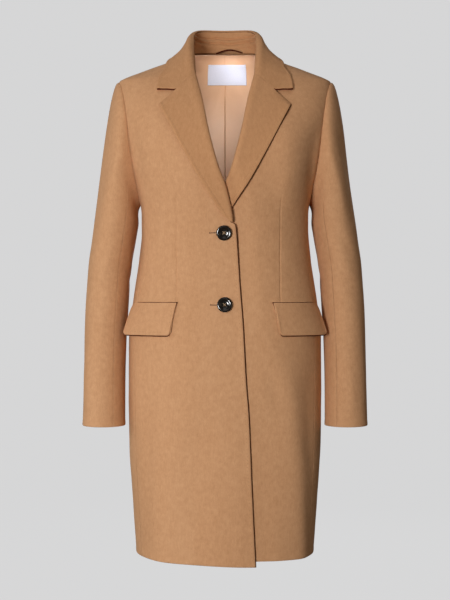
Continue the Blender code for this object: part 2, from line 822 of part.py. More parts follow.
def flap_grid(side):
    """The flap's wall middle: rows from its sewn top to its free foot."""
    across = spread(0.0, 1.0, FLAP_COLUMNS)[None, :]
    down = spread(0.0, 1.0, FLAP_ROWS)[:, None]
    top_angle = FLAP_TOP_ANGLES[0] + (FLAP_TOP_ANGLES[1] - FLAP_TOP_ANGLES[0]) * across
    foot_angle = (
        FLAP_FOOT_ANGLES[0] + (FLAP_FOOT_ANGLES[1] - FLAP_FOOT_ANGLES[0]) * across
    )
    angle = top_angle * (1 - down) + foot_angle * down
    from_end = np.minimum(across, 1 - across) * FLAP_LENGTH
    inside = np.clip(1 - from_end / FLAP_CORNER, 0.0, 1.0)
    corner = FLAP_CORNER * FLAP_CORNER_DEPTH * (1 - np.sqrt(1 - inside**2))
    foot_level = FLAP_FOOT_LEVEL + corner
    level = FLAP_TOP_LEVEL + (foot_level - FLAP_TOP_LEVEL) * down
    inner_lift, outer_lift = FLAP_FOOT_LIFTS
    foot_lift = inner_lift + (outer_lift - inner_lift) * across**2
    lift = FLAP_TOP_LIFT + (foot_lift - FLAP_TOP_LIFT) * down**1.3
    return body(side, angle, level) + lift[..., None] * body_normal(side, angle, level)


def make_flaps(collection):
    for side, word in ((-1, "right"), (1, "left")):
        outer, inner = both_faces(flap_grid(side), FLAP_WALL)
        cloth(f"flap_{word}", collection, outer, inner, side)


def button_body(name, collection):
    """A turned button with four holes, lying flat at the origin."""
    profile = bpy.data.meshes.new(name)
    points = [(share * BUTTON_RADIUS, 0.0, height) for share, height in BUTTON_PROFILE]
    edges = [(i, i + 1) for i in range(len(points) - 1)]
    profile.from_pydata(points, edges, [])
    button = new_object(name, profile, collection, HORN, 0.35)
    turn = button.modifiers.new("Turn", "SCREW")
    turn.steps = turn.render_steps = BUTTON_SIDES
    turn.use_merge_vertices = True
    turn.merge_threshold = 0.00001
    return button


def make_hole_cutter(cutters):
    """Four thread holes in one cutter, each a small eight-sided rod."""
    maker = bmesh.new()
    for across in (-1, 1):
        for up in (-1, 1):
            place = Matrix.Translation(
                (across * BUTTON_HOLE_OFFSET, up * BUTTON_HOLE_OFFSET, 0.0045)
            )
            bmesh.ops.create_cone(
                maker, cap_ends=True, segments=8, radius1=BUTTON_HOLE_RADIUS,
                radius2=BUTTON_HOLE_RADIUS, depth=0.0060, matrix=place,
            )
    mesh = bpy.data.meshes.new("button_holes")
    maker.to_mesh(mesh)
    maker.free()
    cutter = bpy.data.objects.new("button_holes", mesh)
    cutter.hide_render = True
    cutter.display_type = "WIRE"
    cutters.objects.link(cutter)
    return cutter


def make_buttons(collection, cutters):
    cutter = make_hole_cutter(cutters)
    for name, (x, level) in BUTTONS.items():
        out = np.array(-x)
        angle = angle_at(-1, out, level)
        place = body(-1, angle, level)
        normal = body_normal(-1, angle, level)
        button = button_body(name, collection)
        button.location = (-place[0], place[1], place[2])
        facing = Vector((-normal[0], normal[1], normal[2]))
        button.rotation_euler = facing.to_track_quat("Z", "Y").to_euler()
        holes = cutter.copy()
        holes.name = f"{name}_holes"
        holes.parent = button
        cutters.objects.link(holes)
        cut = button.modifiers.new("Holes", "BOOLEAN")
        cut.operation = "DIFFERENCE"
        cut.object = holes
    bpy.data.objects.remove(cutter)


def make_lining(collection):
    """The back's lining, on the back panels' own rows, and the label that lies on it."""
    angle, level = back_grid()
    keep = level[:, 0] > LINING_HEM_LEVEL
    angle, level = angle[keep, :-1], level[keep, :-1]
    faces = []
    for depth in (WALL + LAID_GAP, WALL + LAID_GAP + LINING_WALL):
        halves = []
        for side in (-1, 1):
            points = body(side, angle, level) - depth * body_normal(side, angle, level)
            halves.append(points * np.array([side, 1.0, 1.0]))
        faces.append(np.concatenate([halves[0][:, :0:-1], halves[1]], axis=1))
    cloth("lining_back", collection, faces[0], faces[1], 1, PEACH, 0.4)

    across = spread(*LABEL_OUT, LABEL_COLUMNS)
    levels = spread(*LABEL_LEVELS, LABEL_ROWS)
    depth = WALL + LAID_GAP + LINING_WALL + LABEL_GAP
    spots = np.broadcast_to(levels[:, None], (len(levels), len(across)))
    angles = angle_at(1, across[None, :], spots, ON_BACK)
    normal = body_normal(1, angles, spots)
    outer = body(1, angles, spots) - depth * normal
    inner = outer - LABEL_WALL * normal
    cloth("neck_label", collection, outer, inner, 1, WHITE, 0.6)


def make_loop(collection):
    """The hanger loop: a short cord whose ends are sewn in below the collar stand."""
    curve = bpy.data.curves.new("hanger_loop", "CURVE")
    curve.dimensions = "3D"
    curve.bevel_depth = LOOP_RADIUS
    curve.bevel_resolution = 2
    curve.use_fill_caps = True
    spline = curve.splines.new("POLY")
    spline.points.add(LOOP_POINTS - 1)
    share = spread(0.0, 1.0, LOOP_POINTS - 1)
    arch = np.sin(np.pi * share)
    angle = angle_at(1, spread(*LOOP_ENDS, LOOP_POINTS - 1), NAPE_LEVEL, ON_BACK)
    depth = WALL + LOOP_RADIUS + LAID_GAP + LOOP_STAND_OFF * arch
    place = body(1, angle, NAPE_LEVEL)
    place = place - depth[:, None] * body_normal(1, angle, NAPE_LEVEL)
    for point, (x, y, _), rise in zip(spline.points, place, arch):
        point.co = (x, y, LOOP_FOOT_Z + LOOP_RISE * rise, 1.0)
    new_object("hanger_loop", curve, collection, CAMEL_TURNED, 0.8)


def main():
    for obj in list(bpy.data.objects):
        bpy.data.objects.remove(obj)
    coat = bpy.data.collections.new("wool_coat")
    bpy.context.scene.collection.children.link(coat)
    cutters = bpy.data.collections.new("cutters")
    bpy.context.scene.collection.children.link(cutters)
    make_fronts(coat)
    make_panels(coat, "side", side_grid())
    make_panels(coat, "back", back_grid())
    make_sleeves(coat)
    make_lapels(coat)
    make_collar(coat)
    make_flaps(coat)
    make_buttons(coat, cutters)
    make_lining(coat)
    make_loop(coat)


main()
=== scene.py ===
"""Looks of the camel wool coat: a fine shell on the form of every cloth solid, with its
seams, creases, stitching, buttonholes and turned horn buttons, in pale studio light.

Metres, +Z up, front towards -Y, wearer's left at +X. The cloth is read by an angle round
the body (0 centre front, 90 side and shoulder ridge, 180 centre back) and by a level.
"Out" means away from the centre line on the piece's own side.
"""

import math

import bmesh
import bpy
import numpy as np
from mathutils import Matrix, Vector


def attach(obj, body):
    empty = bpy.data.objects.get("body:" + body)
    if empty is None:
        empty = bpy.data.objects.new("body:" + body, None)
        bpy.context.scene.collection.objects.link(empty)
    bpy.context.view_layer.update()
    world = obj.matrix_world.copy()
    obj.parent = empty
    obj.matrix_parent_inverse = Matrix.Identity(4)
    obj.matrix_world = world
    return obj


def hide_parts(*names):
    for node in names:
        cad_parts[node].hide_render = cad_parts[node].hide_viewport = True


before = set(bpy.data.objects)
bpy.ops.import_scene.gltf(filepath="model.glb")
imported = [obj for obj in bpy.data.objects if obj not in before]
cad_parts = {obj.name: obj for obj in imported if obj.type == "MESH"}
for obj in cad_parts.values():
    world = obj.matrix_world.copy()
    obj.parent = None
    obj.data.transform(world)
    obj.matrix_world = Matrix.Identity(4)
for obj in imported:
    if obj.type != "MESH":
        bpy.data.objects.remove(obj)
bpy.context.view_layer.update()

# Cloth
WALL = 0.0026
SLEEVE_WALL = 0.0022
TURNED_WALL = 0.0024
FLAP_WALL = 0.0030
FLAP_TOP_WALL = 0.0012
LINING_WALL = 0.0010
SEAM_GAP = 0.0003
LAID_GAP = 0.0008

# Levels
HEM_LEVEL = -0.8870
OVER_HEM_LEVEL = -0.8945
UNDER_HEM_LEVEL = -0.8840
BREAK_LEVEL = -0.2994
GORGE_LEVEL = -0.0377
NECK_POINT_LEVEL = 0.0140
NAPE_LEVEL = 0.0270
LINING_HEM_LEVEL = -0.8600

# Armhole: an ellipse in angle and level
ARMHOLE_ANGLE = 90.0
ARMHOLE_HALF_ANGLE = 21.7
ARMHOLE_LEVEL = -0.1505
ARMHOLE_HALF_HEIGHT = 0.1115
ARMHOLE_SEAM_TURN = 136.2
SLEEVE_SEAM_TURN = 121.07

SIDES = ((-1, "right"), (1, "left"))

# Spacing of the shells' points, and distances of the closer ones from an edge
SPACING = 0.0045
NEAR_EDGE = np.array((0.0, 0.0001, 0.0004, 0.0009, 0.0015, 0.0024, 0.0038, 0.0058))
RIM = 0.001  # share of a grid's width or length in which only the rim's faces lie

# Rough lengths by which the points are spread
SKIRT_LENGTH = 0.66
YOKE_LENGTH = 0.235
NAPE_ROW = 2 / 3  # of the yoke's rows, up to which the back's centre seam runs
SLEEVE_HEAD_LENGTH = 0.200
SLEEVE_ARM_LENGTH = 0.358
TOP_SLEEVE_WIDTH = 0.205
UNDER_SLEEVE_WIDTH = 0.095
LAPEL_LENGTH = 0.29
COLLAR_HALF_LENGTH = 0.23

# Points across the pieces
FRONT_COLUMNS = (20, 17)  # on the inner and the outer side of the dart
BACK_COLUMNS = 38
SIDE_COLUMNS = 24
LAPEL_COLUMNS = 27
COLLAR_COLUMNS = 18
STAND_COLUMNS = 31
COLLAR_ROWS = 84

# Turned-up hems and turned-in edges
HEM_TURN_UP = 0.034
CUFF_TURN_UP = 0.036
FACING_WIDTH = 0.085
HEM_SWELL = (0.0005, 0.0040)  # its height, and its reach and distance from the edge
STITCH_IN = 0.0070
TURNED_EDGE = (
    # rise, distance from the edge, reach
    (0.0007, 0.0032, 0.0024),
    (-0.0004, STITCH_IN, 0.0012),
)
TURNED_SHARE = 0.7  # of the front's swollen edge, on thinner pieces
SEWN_FADE = (0.03, 0.02)  # short of and past the gorge seam's end, in shares of its row
PEEK_REACH = 0.0012
PEEK_START = (0.004, -0.012)  # above and below the break, over which the facing's painted shade rim peeks out
INNER_SHARE = 0.9  # of the outer face's relief, on the inner face
LINED_STEP = 0.0005  # of the lining past the wool's inner face


class Table:
    """A short table read by column name, with smooth values between its rows."""

    def __init__(self, columns, rows):
        self.columns = columns.split()
        self.rows = np.array(sorted(rows), float)

    def at(self, column, key):
        keys = self.rows[:, 0]
        values = self.rows[:, self.columns.index(column)]
        steps = np.diff(keys)
        slopes = np.diff(values) / steps
        same_way = slopes[:-1] * slopes[1:] > 0
        total = np.where(same_way, slopes[:-1] + slopes[1:], 1.0)
        inner = np.where(same_way, 2.0 * slopes[:-1] * slopes[1:] / total, 0.0)
        tangents = np.concatenate([slopes[:1], inner, slopes[-1:]])
        key = np.clip(key, keys[0], keys[-1])
        i = np.clip(np.searchsorted(keys, key) - 1, 0, len(steps) - 1)
        s = (key - keys[i]) / steps[i]
        return (
            values[i] * (1 + 2 * s) * (1 - s) ** 2
            + tangents[i] * steps[i] * s * (1 - s) ** 2
            + values[i + 1] * s**2 * (3 - 2 * s)
            - tangents[i + 1] * steps[i] * s**2 * (1 - s)
        )


BODY = Table(
    "level half_width front_depth back_depth squareness",
    (
        (-0.9000, 0.1595, 0.1280, 0.1300, 2.30),
        (-0.8000, 0.1665, 0.1300, 0.1330, 2.30),
        (-0.7000, 0.1730, 0.1310, 0.1360, 2.30),
        (-0.6000, 0.1747, 0.1310, 0.1350, 2.30),
        (-0.5000, 0.1740, 0.1290, 0.1220, 2.30),
        (-0.4330, 0.1665, 0.1240, 0.1080, 2.35),
        (-0.3600, 0.1540, 0.1190, 0.0990, 2.40),
        (-0.3200, 0.1510, 0.1210, 0.1000, 2.40),
        (-0.2800, 0.1510, 0.1280, 0.1050, 2.50),
        (-0.2400, 0.1575, 0.1345, 0.1100, 2.65),
        (-0.2000, 0.1680, 0.1370, 0.1130, 2.80),
        (-0.1550, 0.1780, 0.1300, 0.1140, 2.95),
        (-0.1000, 0.1880, 0.1080, 0.1100, 3.00),
        (-0.0600, 0.1935, 0.0840, 0.1010, 2.80),
        (-0.0390, 0.1920, 0.0690, 0.0930, 2.55),
        (-0.0326, 0.1820, 0.0640, 0.0900, 2.45),
        (-0.0235, 0.1588, 0.0575, 0.0860, 2.40),
        (-0.0144, 0.1355, 0.0520, 0.0825, 2.35),
        (-0.0053, 0.1105, 0.0475, 0.0790, 2.30),
        (0.0140, 0.0680, 0.0400, 0.0700, 2.20),
        (0.0300, 0.0600, 0.0340, 0.0620, 2.20),
    ),
)

FOLDS = (
    # side, top_angle, top_level, foot_angle, foot_level, rise, half_width
    (1, 42.0, -0.500, 58.0, -0.880, 0.0050, 0.022),
    (1, 30.0, -0.560, 33.0, -0.880, -0.0035, 0.026),
    (-1, 40.0, -0.520, 48.0, -0.880, 0.0035, 0.026),
    (-1, 20.0, -0.600, 22.0, -0.880, -0.0025, 0.030),
    (1, 128.0, -0.480, 134.0, -0.880, 0.0045, 0.028),
    (-1, 130.0, -0.500, 138.0, -0.880, 0.0040, 0.028),
    (1, 152.0, -0.560, 156.0, -0.880, -0.0030, 0.028),
    (-1, 150.0, -0.540, 153.0, -0.880, -0.0035, 0.026),
)
FOLD_FADE = 0.10

# Softer creases laid over the body: from one place to another.
BODY_CREASES = (
    # side, angle, level, to_angle, to_level, rise, half_width
    (1, 46.0, -0.115, 54.0, -0.275, 0.0070, 0.026),
    (1, 62.0, -0.125, 74.0, -0.265, -0.0035, 0.018),
    (1, 40.0, -0.215, 52.0, -0.275, 0.0020, 0.014),
    (-1, 61.0, -0.125, 66.0, -0.240, -0.0015, 0.012),
    (1, 20.0, -0.316, 50.0, -0.286, 0.0011, 0.009),
    (1, 22.0, -0.338, 54.0, -0.352, -0.0010, 0.011),
    (1, 30.0, -0.366, 58.0, -0.402, 0.0009, 0.010),
    (-1, 24.0, -0.322, 53.0, -0.290, 0.0008, 0.010),
    (-1, 26.0, -0.345, 49.0, -0.371, -0.0009, 0.011),
    (1, 26.0, -0.480, 45.0, -0.640, -0.0016, 0.013),
    (1, 64.0, -0.520, 70.0, -0.800, -0.0018, 0.014),
    (-1, 30.0, -0.500, 33.0, -0.720, 0.0012, 0.018),
    (-1, 58.0, -0.560, 62.0, -0.850, -0.0014, 0.016),
    (1, 96.0, -0.300, 82.0, -0.430, 0.0016, 0.013),
    (-1, 94.0, -0.310, 84.0, -0.420, 0.0014, 0.012),
    (1, 108.0, -0.215, 140.0, -0.150, 0.0022, 0.011),
    (-1, 110.0, -0.225, 138.0, -0.165, 0.0019, 0.012),
    (1, 118.0, -0.120, 128.0, -0.235, -0.0024, 0.013),
    (-1, 117.0, -0.110, 126.0, -0.245, -0.0021, 0.013),
    (1, 172.0, -0.330, 134.0, -0.352, 0.0021, 0.010),
    (-1, 170.0, -0.342, 138.0, -0.320, 0.0018, 0.010),
    (1, 166.0, -0.365, 128.0, -0.395, -0.0019, 0.011),
    (-1, 168.0, -0.372, 130.0, -0.404, -0.0017, 0.012),
    (1, 160.0, -0.405, 124.0, -0.440, 0.0015, 0.012),
    (-1, 176.0, -0.420, 142.0, -0.452, 0.0014, 0.012),
    (1, 150.0, -0.070, 172.0, -0.052, 0.0012, 0.010),
    (-1, 146.0, -0.078, 170.0, -0.060, 0.0011, 0.011),
    (-1, 172.0, -0.560, 168.0, -0.860, 0.0018, 0.020),
    (1, 116.0, -0.600, 118.0, -0.860, -0.0020, 0.020),
    (-1, 116.0, -0.580, 117.0, -0.860, -0.0018, 0.018),
)
BODY_ROUND = 0.145  # mean radius by which an angle becomes a distance

# Creases of the sleeves; turn 0 is the outer side, 90 the front, 180 the inner side.
SLEEVE_CREASES = (
    # side, turn, level, to_turn, to_level, rise, half_width
    (1, 96.0, -0.150, 70.0, -0.300, 0.0022, 0.010),
    (1, 50.0, -0.110, 42.0, -0.310, -0.0040, 0.020),
    (1, 118.0, -0.300, 62.0, -0.352, -0.0020, 0.009),
    (1, 124.0, -0.345, 70.0, -0.385, 0.0019, 0.009),
    (1, 120.0, -0.392, 58.0, -0.412, -0.0017, 0.009),
    (1, 108.0, -0.440, 40.0, -0.490, 0.0012, 0.012),
    (1, 30.0, -0.480, 20.0, -0.640, -0.0014, 0.012),
    (1, 92.0, -0.540, 84.0, -0.650, 0.0012, 0.009),
    (1, -60.0, -0.160, -74.0, -0.330, 0.0020, 0.012),
    (1, -110.0, -0.330, -50.0, -0.370, -0.0020, 0.010),
    (1, -116.0, -0.372, -40.0, -0.420, 0.0018, 0.010),
    (1, -100.0, -0.420, -46.0, -0.470, -0.0014, 0.010),
    (1, -30.0, -0.500, -38.0, -0.640, 0.0014, 0.012),
    (-1, 98.0, -0.160, 74.0, -0.290, 0.0018, 0.011),
    (-1, 58.0, -0.140, 44.0, -0.350, -0.0013, 0.014),
    (-1, 120.0, -0.310, 64.0, -0.356, -0.0018, 0.010),
    (-1, 118.0, -0.360, 72.0, -0.400, 0.0016, 0.009),
    (-1, 104.0, -0.415, 50.0, -0.445, -0.0014, 0.010),
    (-1, 84.0, -0.490, 36.0, -0.560, 0.0012, 0.013),
    (-1, 20.0, -0.500, 12.0, -0.650, -0.0012, 0.012),
    (-1, -64.0, -0.150, -78.0, -0.320, 0.0018, 0.012),
    (-1, -112.0, -0.335, -54.0, -0.385, -0.0019, 0.010),
    (-1, -108.0, -0.385, -44.0, -0.425, 0.0016, 0.010),
    (-1, -26.0, -0.480, -36.0, -0.640, 0.0013, 0.012),
    (1, 150.0, -0.330, 178.0, -0.372, 0.0014, 0.009),
    (1, 200.0, -0.380, 168.0, -0.420, -0.0014, 0.009),
    (-1, 152.0, -0.340, 180.0, -0.378, 0.0014, 0.009),
    (-1, 204.0, -0.390, 170.0, -0.425, -0.0014, 0.009),
)
SLEEVE_ROUND = 0.048
CREASE_BEND = 0.8  # of its half width, sideways at its middle
CREASE_STARTS = (-0.12, 0.30)  # shares of its length, over which a crease grows
CREASE_ENDS = (1.15, 0.55)
SLEEVE_CREASES_CLEAR = 0.03  # of the armhole's seam

# Crown of the top sleeve's head: how it swells, and fills the seam's groove, and how far
CROWN_RISE = (0.0008, 0.014)
CROWN_FILLS = (0.85, 0.008)

# Seam allowance of the sleeve's head, turned in below the panels
ALLOWANCE = 0.045  # past the armhole's edge, as a share of its size
ALLOWANCE_TURN = (0.005, 0.014)  # short of the edge, where it turns in, outside and inside
ALLOWANCE_DEPTH = 0.0040
ALLOWANCE_WALL = 0.0010

OVER_EDGE = Table(
    "level past",
    (
        (-0.8945, 0.0532),
        (-0.7680, 0.0469),
        (-0.6356, 0.0412),
        (-0.5704, 0.0361),
        (-0.4742, 0.0309),
        (-0.4038, 0.0254),
        (-0.3471, 0.0218),
        (-0.3025, 0.0177),
        (BREAK_LEVEL, 0.0150),
    ),
)
UNDER_EDGE = Table(
    "level past",
    (
        (-0.8945, 0.0330),
        (-0.6000, 0.0250),
        (-0.4000, 0.0200),
        (BREAK_LEVEL, 0.0150),
    ),
)
ROLL = Table(
    "level out",
    (
        (-0.2994, -0.0120),
        (-0.2668, -0.0055),
        (-0.2343, 0.0030),
        (-0.2069, 0.0133),
        (-0.1408, 0.0307),
        (-0.0867, 0.0415),
        (-0.0554, 0.0494),
        (-0.0377, 0.0537),
        (-0.0180, 0.0585),
        (0.0000, 0.0640),
        (0.0140, 0.0680),
    ),
)
UNDER_DEPTH = Table(
    "level depth",
    (
        (-0.9000, 0.0037),
        (-0.4200, 0.0037),
        (-0.3200, 0.0060),
        (-0.2650, 0.0095),
        (-0.2250, 0.0095),
        (-0.1700, 0.0060),
        (-0.1100, 0.0000),
        (0.0300, 0.0000),
    ),
)
UNDER_BLEND = (1.5, 17.0)
SIDE_SEAMS = Table(
    "level front_angle back_angle",
    (
        (-0.9000, 67.5, 113.0),
        (-0.6500, 68.0, 112.0),
        (-0.4950, 68.8, 110.0),
        (-0.3600, 71.0, 107.0),
        (-0.2310, 75.0, 105.0),
    ),
)

# Darts of the fronts: how far out each lies, and how deep its groove is.
DARTS = Table(
    "level left_out right_out depth",
    (
        (-0.9000, 0.0963, 0.0843, 0.0000),
        (-0.4420, 0.0963, 0.0843, 0.0000),
        (-0.4380, 0.0963, 0.0843, 0.0008),
        (-0.3400, 0.0963, 0.0843, 0.0008),
        (-0.2700, 0.0963, 0.0843, 0.0005),
        (-0.2430, 0.0963, 0.0843, 0.0000),
        (0.0140, 0.0963, 0.0843, 0.0000),
    ),
)
DART_SINK = ((1.0, 0.0012), (0.35, 0.006))  # shares of its depth, and their reach
DART_TOP_LEVEL = -0.06
FRONT_EDGE_START = (-0.26, -0.31)  # levels over which the front's edge comes to swell

SLEEVE = Table(
    "level out forward half_width half_depth",
    (
        (-0.3000, 0.1985, -0.0040, 0.0402, 0.0650),
        (-0.3300, 0.2030, -0.0040, 0.0396, 0.0630),
        (-0.3650, 0.2085, -0.0030, 0.0391, 0.0600),
        (-0.4000, 0.2115, -0.0020, 0.0388, 0.0575),
        (-0.4400, 0.2140, 0.0010, 0.0388, 0.0550),
        (-0.5000, 0.2165, 0.0070, 0.0380, 0.0520),
        (-0.5800, 0.2180, 0.0160, 0.0380, 0.0475),
        (-0.6580, 0.2178, 0.0250, 0.0382, 0.0440),
    ),
)
SLEEVE_TURN_STEP = 0.6  # degrees to each side, between which a normal is read
SLEEVE_TOP_LEVEL = -0.3000
CUFF_LEVEL = -0.6580
SLEEVE_HEAD = Table(
    "turn start_out start_forward start_up end_reach",
    (
        (0.0, 0.0140, 0.0000, 0.0010, 0.170),
        (60.0, 0.0190, 0.0080, -0.0020, 0.120),
        (90.0, 0.0210, 0.0120, -0.0060, 0.085),
        (136.0, 0.0150, 0.0080, -0.0100, 0.035),
        (180.0, 0.0080, 0.0000, -0.0110, 0.012),
    ),
)

LAPEL_EDGE = Table(
    "rise out level",
    (
        (0.00, -0.0017, -0.2939),
        (0.20, 0.0230, -0.2578),
        (0.55, 0.0625, -0.1917),
        (1.00, 0.1151, -0.0923),
    ),
)
LAPEL_TOP_SINK = 0.0016  # of its free top edge, towards the front
LAPEL_SHADE_PEEK = 0.0011  # of the painted shade rim, led past the left lapel's outer edge
FRONT_PEEK = 0.0014  # of the facing's painted shade rim, led past the right front's edge
COLLAR_END_DROP = 0.0034  # of the collar's loose front ends, down their own length
NOTCH_PEEK = 0.0036  # of the painted shade rim, led below the collar's front ends
LAPEL_FOOT = 0.05  # over which the lapel widens from the break
LAPEL_FOOT_ROWS = 12
LAPEL_FIRST_RISE = 0.002
LAPEL_FIRST_WIDTH = 0.12  # of its full width, at the break
GORGE_SHARE = 0.53  # of the lapel's top, sewn to the collar
ROLL_HEIGHT = (0.0040, 0.0064)
EDGE_HEIGHT = 0.0031
EDGE_SPRING = 0.0022  # by which the free edges of lapels and collar stand off further
LAPEL_SPRING = ((0.05, 0.20), 0.014)  # rises over which it grows, and its reach
LAPEL_LAID = (0.15, 0.006)  # past the gorge seam, and reach, where the top lies close
COLLAR_SPRING = (0.6, 0.016)  # of the lapels' own, and its reach
NOTCH_FADE = (0.02, 0.03)  # short of and past the gorge seam's end
ROLL_SECTION = (
    # past the front's rim, share of the roll height, fixed height
    (-0.0020, 0.00, -0.0013),
    (-0.0024, 0.34, 0.0),
    (-0.0010, 0.80, 0.0),
    (0.0025, 1.00, 0.0),
)
ROLL_TURNED = (0.0, 0.0, 0.5, 1.0)
FALL_SHARES = (0.25, 0.50, 0.76, 1.00)

STAND_TOP = Table(
    "turn out y z",
    (
        (0.00, 0.0000, 0.0640, 0.0670),
        (0.20, 0.0260, 0.0600, 0.0668),
        (0.35, 0.0440, 0.0480, 0.0645),
        (0.48, 0.0545, 0.0270, 0.0565),
        (0.60, 0.0588, 0.0020, 0.0415),
        (0.72, 0.0585, -0.0200, 0.0210),
        (0.84, 0.0568, -0.0400, 0.0005),
        (0.92, 0.0552, -0.0540, -0.0185),
        (1.00, 0.0537, -0.0669, -0.0377),
    ),
)
NECKLINE = Table(
    "turn angle level",
    (
        (0.00, 180.0, 0.0270),
        (0.20, 155.0, 0.0258),
        (0.35, 133.0, 0.0230),
        (0.48, 112.0, 0.0185),
        (0.60, 90.0, 0.0140),
        (0.72, 66.5, 0.0075),
        (0.84, 54.8, -0.0060),
        (0.92, 47.0, -0.0200),
        (1.00, 38.8, -0.0377),
    ),
)
FALL_EDGE = Table(
    "turn angle level",
    (
        (0.00, 180.0, 0.0080),
        (0.28, 145.0, 0.0055),
        (0.48, 115.0, 0.0035),
        (0.62, 90.0, 0.0018),
        (0.76, 69.0, -0.0170),
        (0.88, 62.7, -0.0380),
        (1.00, 57.4, -0.0606),
    ),
)
BACK_NECK_TURN = 0.60  # of the neckline, at the shoulder seam
STAND_END_TURN = 0.97
STAND_LEAN = 0.004
STAND_FOOT_RISE = 0.0014
STAND_WAVE = (0.0008, 140)  # of the rows of stitches: height, and radians to the metre
STAND_QUILT = (
    # rise, level, reach: two puffed bands, and the two rows of stitches over them
    (0.0021, 0.0495, 0.0026),
    (0.00147, 0.0390, 0.0035),
    (-0.00352, 0.0540, 0.0015),
    (-0.0022, 0.0450, 0.0013),
)
COLLAR_END_POWER = 9.0

FLAP_TOP_ANGLES = (36.4, 77.0)
FLAP_FOOT_ANGLES = (39.5, 75.0)
FLAP_TOP_LEVEL = -0.4380
FLAP_FOOT_LEVEL = -0.4950
FLAP_LIFT = 0.0021
FLAP_TOP_LIFT = 0.0010
FLAP_FOOT_LIFTS = (0.0040, 0.0150)
FLAP_LENGTH = 0.118
FLAP_DEPTH = 0.057
FLAP_CORNER = 0.007
FLAP_CORNER_DEPTH = 0.8  # of its width
FLAP_PEEK = 0.0017  # of the painted shade rim, led past the inner and the lower edge
FLAP_TOP_PEEK = 0.0010  # of the painted shade rim, led up into the slit
FLAP_ROWS = np.array((-18, -6, 0, 5, 11, 14, 20, 30, 45, 65))  # tenths of a mm from its top
FLAP_ROWS_CLEAR = 0.003  # of the front's other rows
FLAP_LIFT_POWER = 1.3
FLAP_TOP_LIFT_REACH = 0.009
FLAP_TOP_WALL_REACH = 0.010
FLAP_EDGE_START = 0.010  # from its top, over which its edges come to swell
FLAP_TOP_PEEK_REACH = 0.0008
FLAP_TOP_PEEK_END = (1.0, 0.6)  # across, from its outer end
JET_RISE = 0.0017  # of the cloth just above the flap
JET_REACH = 0.0060
JET_END = (0.8, 0.3)  # degrees past and within the flap's ends, over which it fades
SLIT_WIDTH = 0.0014  # between that cloth and the flap

BUTTONS = {"button_upper": (-0.0017, -0.3171), "button_lower": (-0.0005, -0.4416)}
BUTTON_RADIUS = 0.0133

LINING_SHARE = 0.86  # of the back's width
PLEAT_DEPTH = 0.0009
PLEAT_REACH = 0.0007
PLEAT_STEP = 0.0003  # of the cloth that lies on top, on the wearer's left
PLEAT_STEP_REACH = 0.012
LINING_WAVE = 0.0004
LINING_TUCK = 0.014  # from the neckline, over which the lining lies close
LABEL_OUT = (-0.0330, 0.0410)
LABEL_LEVELS = (-0.0260, 0.0100)
LABEL_WALL = 0.0006
LABEL_GAP = 0.0017
LABEL_WAVE = 0.0003
LABEL_SEWN = (0.00035, 0.06, 0.02)  # sink of its sewn line, place and reach in heights
LABEL_RATIO = 2.05  # of its width to its height

LOOP_ENDS = (-0.0175, 0.0345)
LOOP_RADIUS = 0.0013
LOOP_RISE = 0.0065
LOOP_FOOT_Z = 0.0265
LOOP_STAND_OFF = 0.0030
LOOP_SLIT = 0.0046  # height of the open mouth below the stand, under the loop
LOOP_SLIT_END = 0.012  # over which the mouth opens
LOOP_SLIT_REACH = 0.12  # of the stand's height
LOOP_SLIT_DARK = 0.1  # of the mouth's height, from which its rim takes the painted shade


def unit(vectors):
    return vectors / np.linalg.norm(vectors, axis=-1, keepdims=True)


def mirrored(points, side):
    return points * np.array([side, 1.0, 1.0])


def smooth_step(low, high, value):
    s = np.clip((value - low) / (high - low), 0.0, 1.0)
    return s * s * (3.0 - 2.0 * s)


def bell(distance, reach):
    return np.exp(-((distance / reach) ** 2))


def fold_rise(side, angle, level, radius):
    rise = np.zeros_like(radius)
    for fold_side, top_angle, top_level, foot_angle, foot_level, height, width in FOLDS:
        share = np.clip((level - top_level) / (foot_level - top_level), 0.0, 1.0)
        middle = top_angle + (foot_angle - top_angle) * share
        across = np.radians(angle - side * fold_side * middle) * radius / width
        down = smooth_step(0.0, FOLD_FADE, top_level - level)
        rise = rise + height * down * np.exp(-across * across)
    return rise


def body(side, angle, level):
    """Points of the body surface, out to +X: the caller mirrors the right side."""
    angle, level = np.broadcast_arrays(
        np.asarray(angle, float), np.asarray(level, float)
    )
    sine = np.sin(np.radians(angle))
    cosine = np.cos(np.radians(angle))
    depth = np.where(
        cosine > 0, BODY.at("front_depth", level), BODY.at("back_depth", level)
    )
    power = BODY.at("squareness", level)
    width = BODY.at("half_width", level)
    radius = (np.abs(sine / width) ** power + np.abs(cosine / depth) ** power) ** (
        -1.0 / power
    )
    radius = radius + fold_rise(side, angle, level, radius)
    return np.stack([radius * sine, -radius * cosine, level], axis=-1)


NORMAL_STEPS = ((0.5, 0.0), (0.0, 0.0015))  # in angle and level: round the body, and up


def body_normal(side, angle, level):
    round_body, up_body = [
        body(side, angle + by_angle, level + by_level)
        - body(side, angle - by_angle, level - by_level)
        for by_angle, by_level in NORMAL_STEPS
    ]
    return unit(np.cross(round_body, up_body))


def off_body(side, angle, level, height):
    """Points at a height above the body surface."""
    height = np.asarray(height, float)[..., None]
    return body(side, angle, level) + height * body_normal(side, angle, level)


ON_BACK = (269.9, 90.1)  # ends between which a place on the back is looked for


def angle_at(side, out, level, ends=(-89.9, 89.9)):
    out, level = np.broadcast_arrays(np.asarray(out, float), np.asarray(level, float))
    low = np.full(out.shape, ends[0])
    high = np.full(out.shape, ends[1])
    for _ in range(40):
        middle = (low + high) / 2
        short = body(side, middle, level)[..., 0] < out
        low = np.where(short, middle, low)
        high = np.where(short, high, middle)
    return (low + high) / 2


def cover_angle(level):
    """Where the right front's edge lies, as an angle on the left front's side."""
    past = np.where(
        level < BREAK_LEVEL, OVER_EDGE.at("past", level), -ROLL.at("out", level)
    )
    return angle_at(1, past, level)


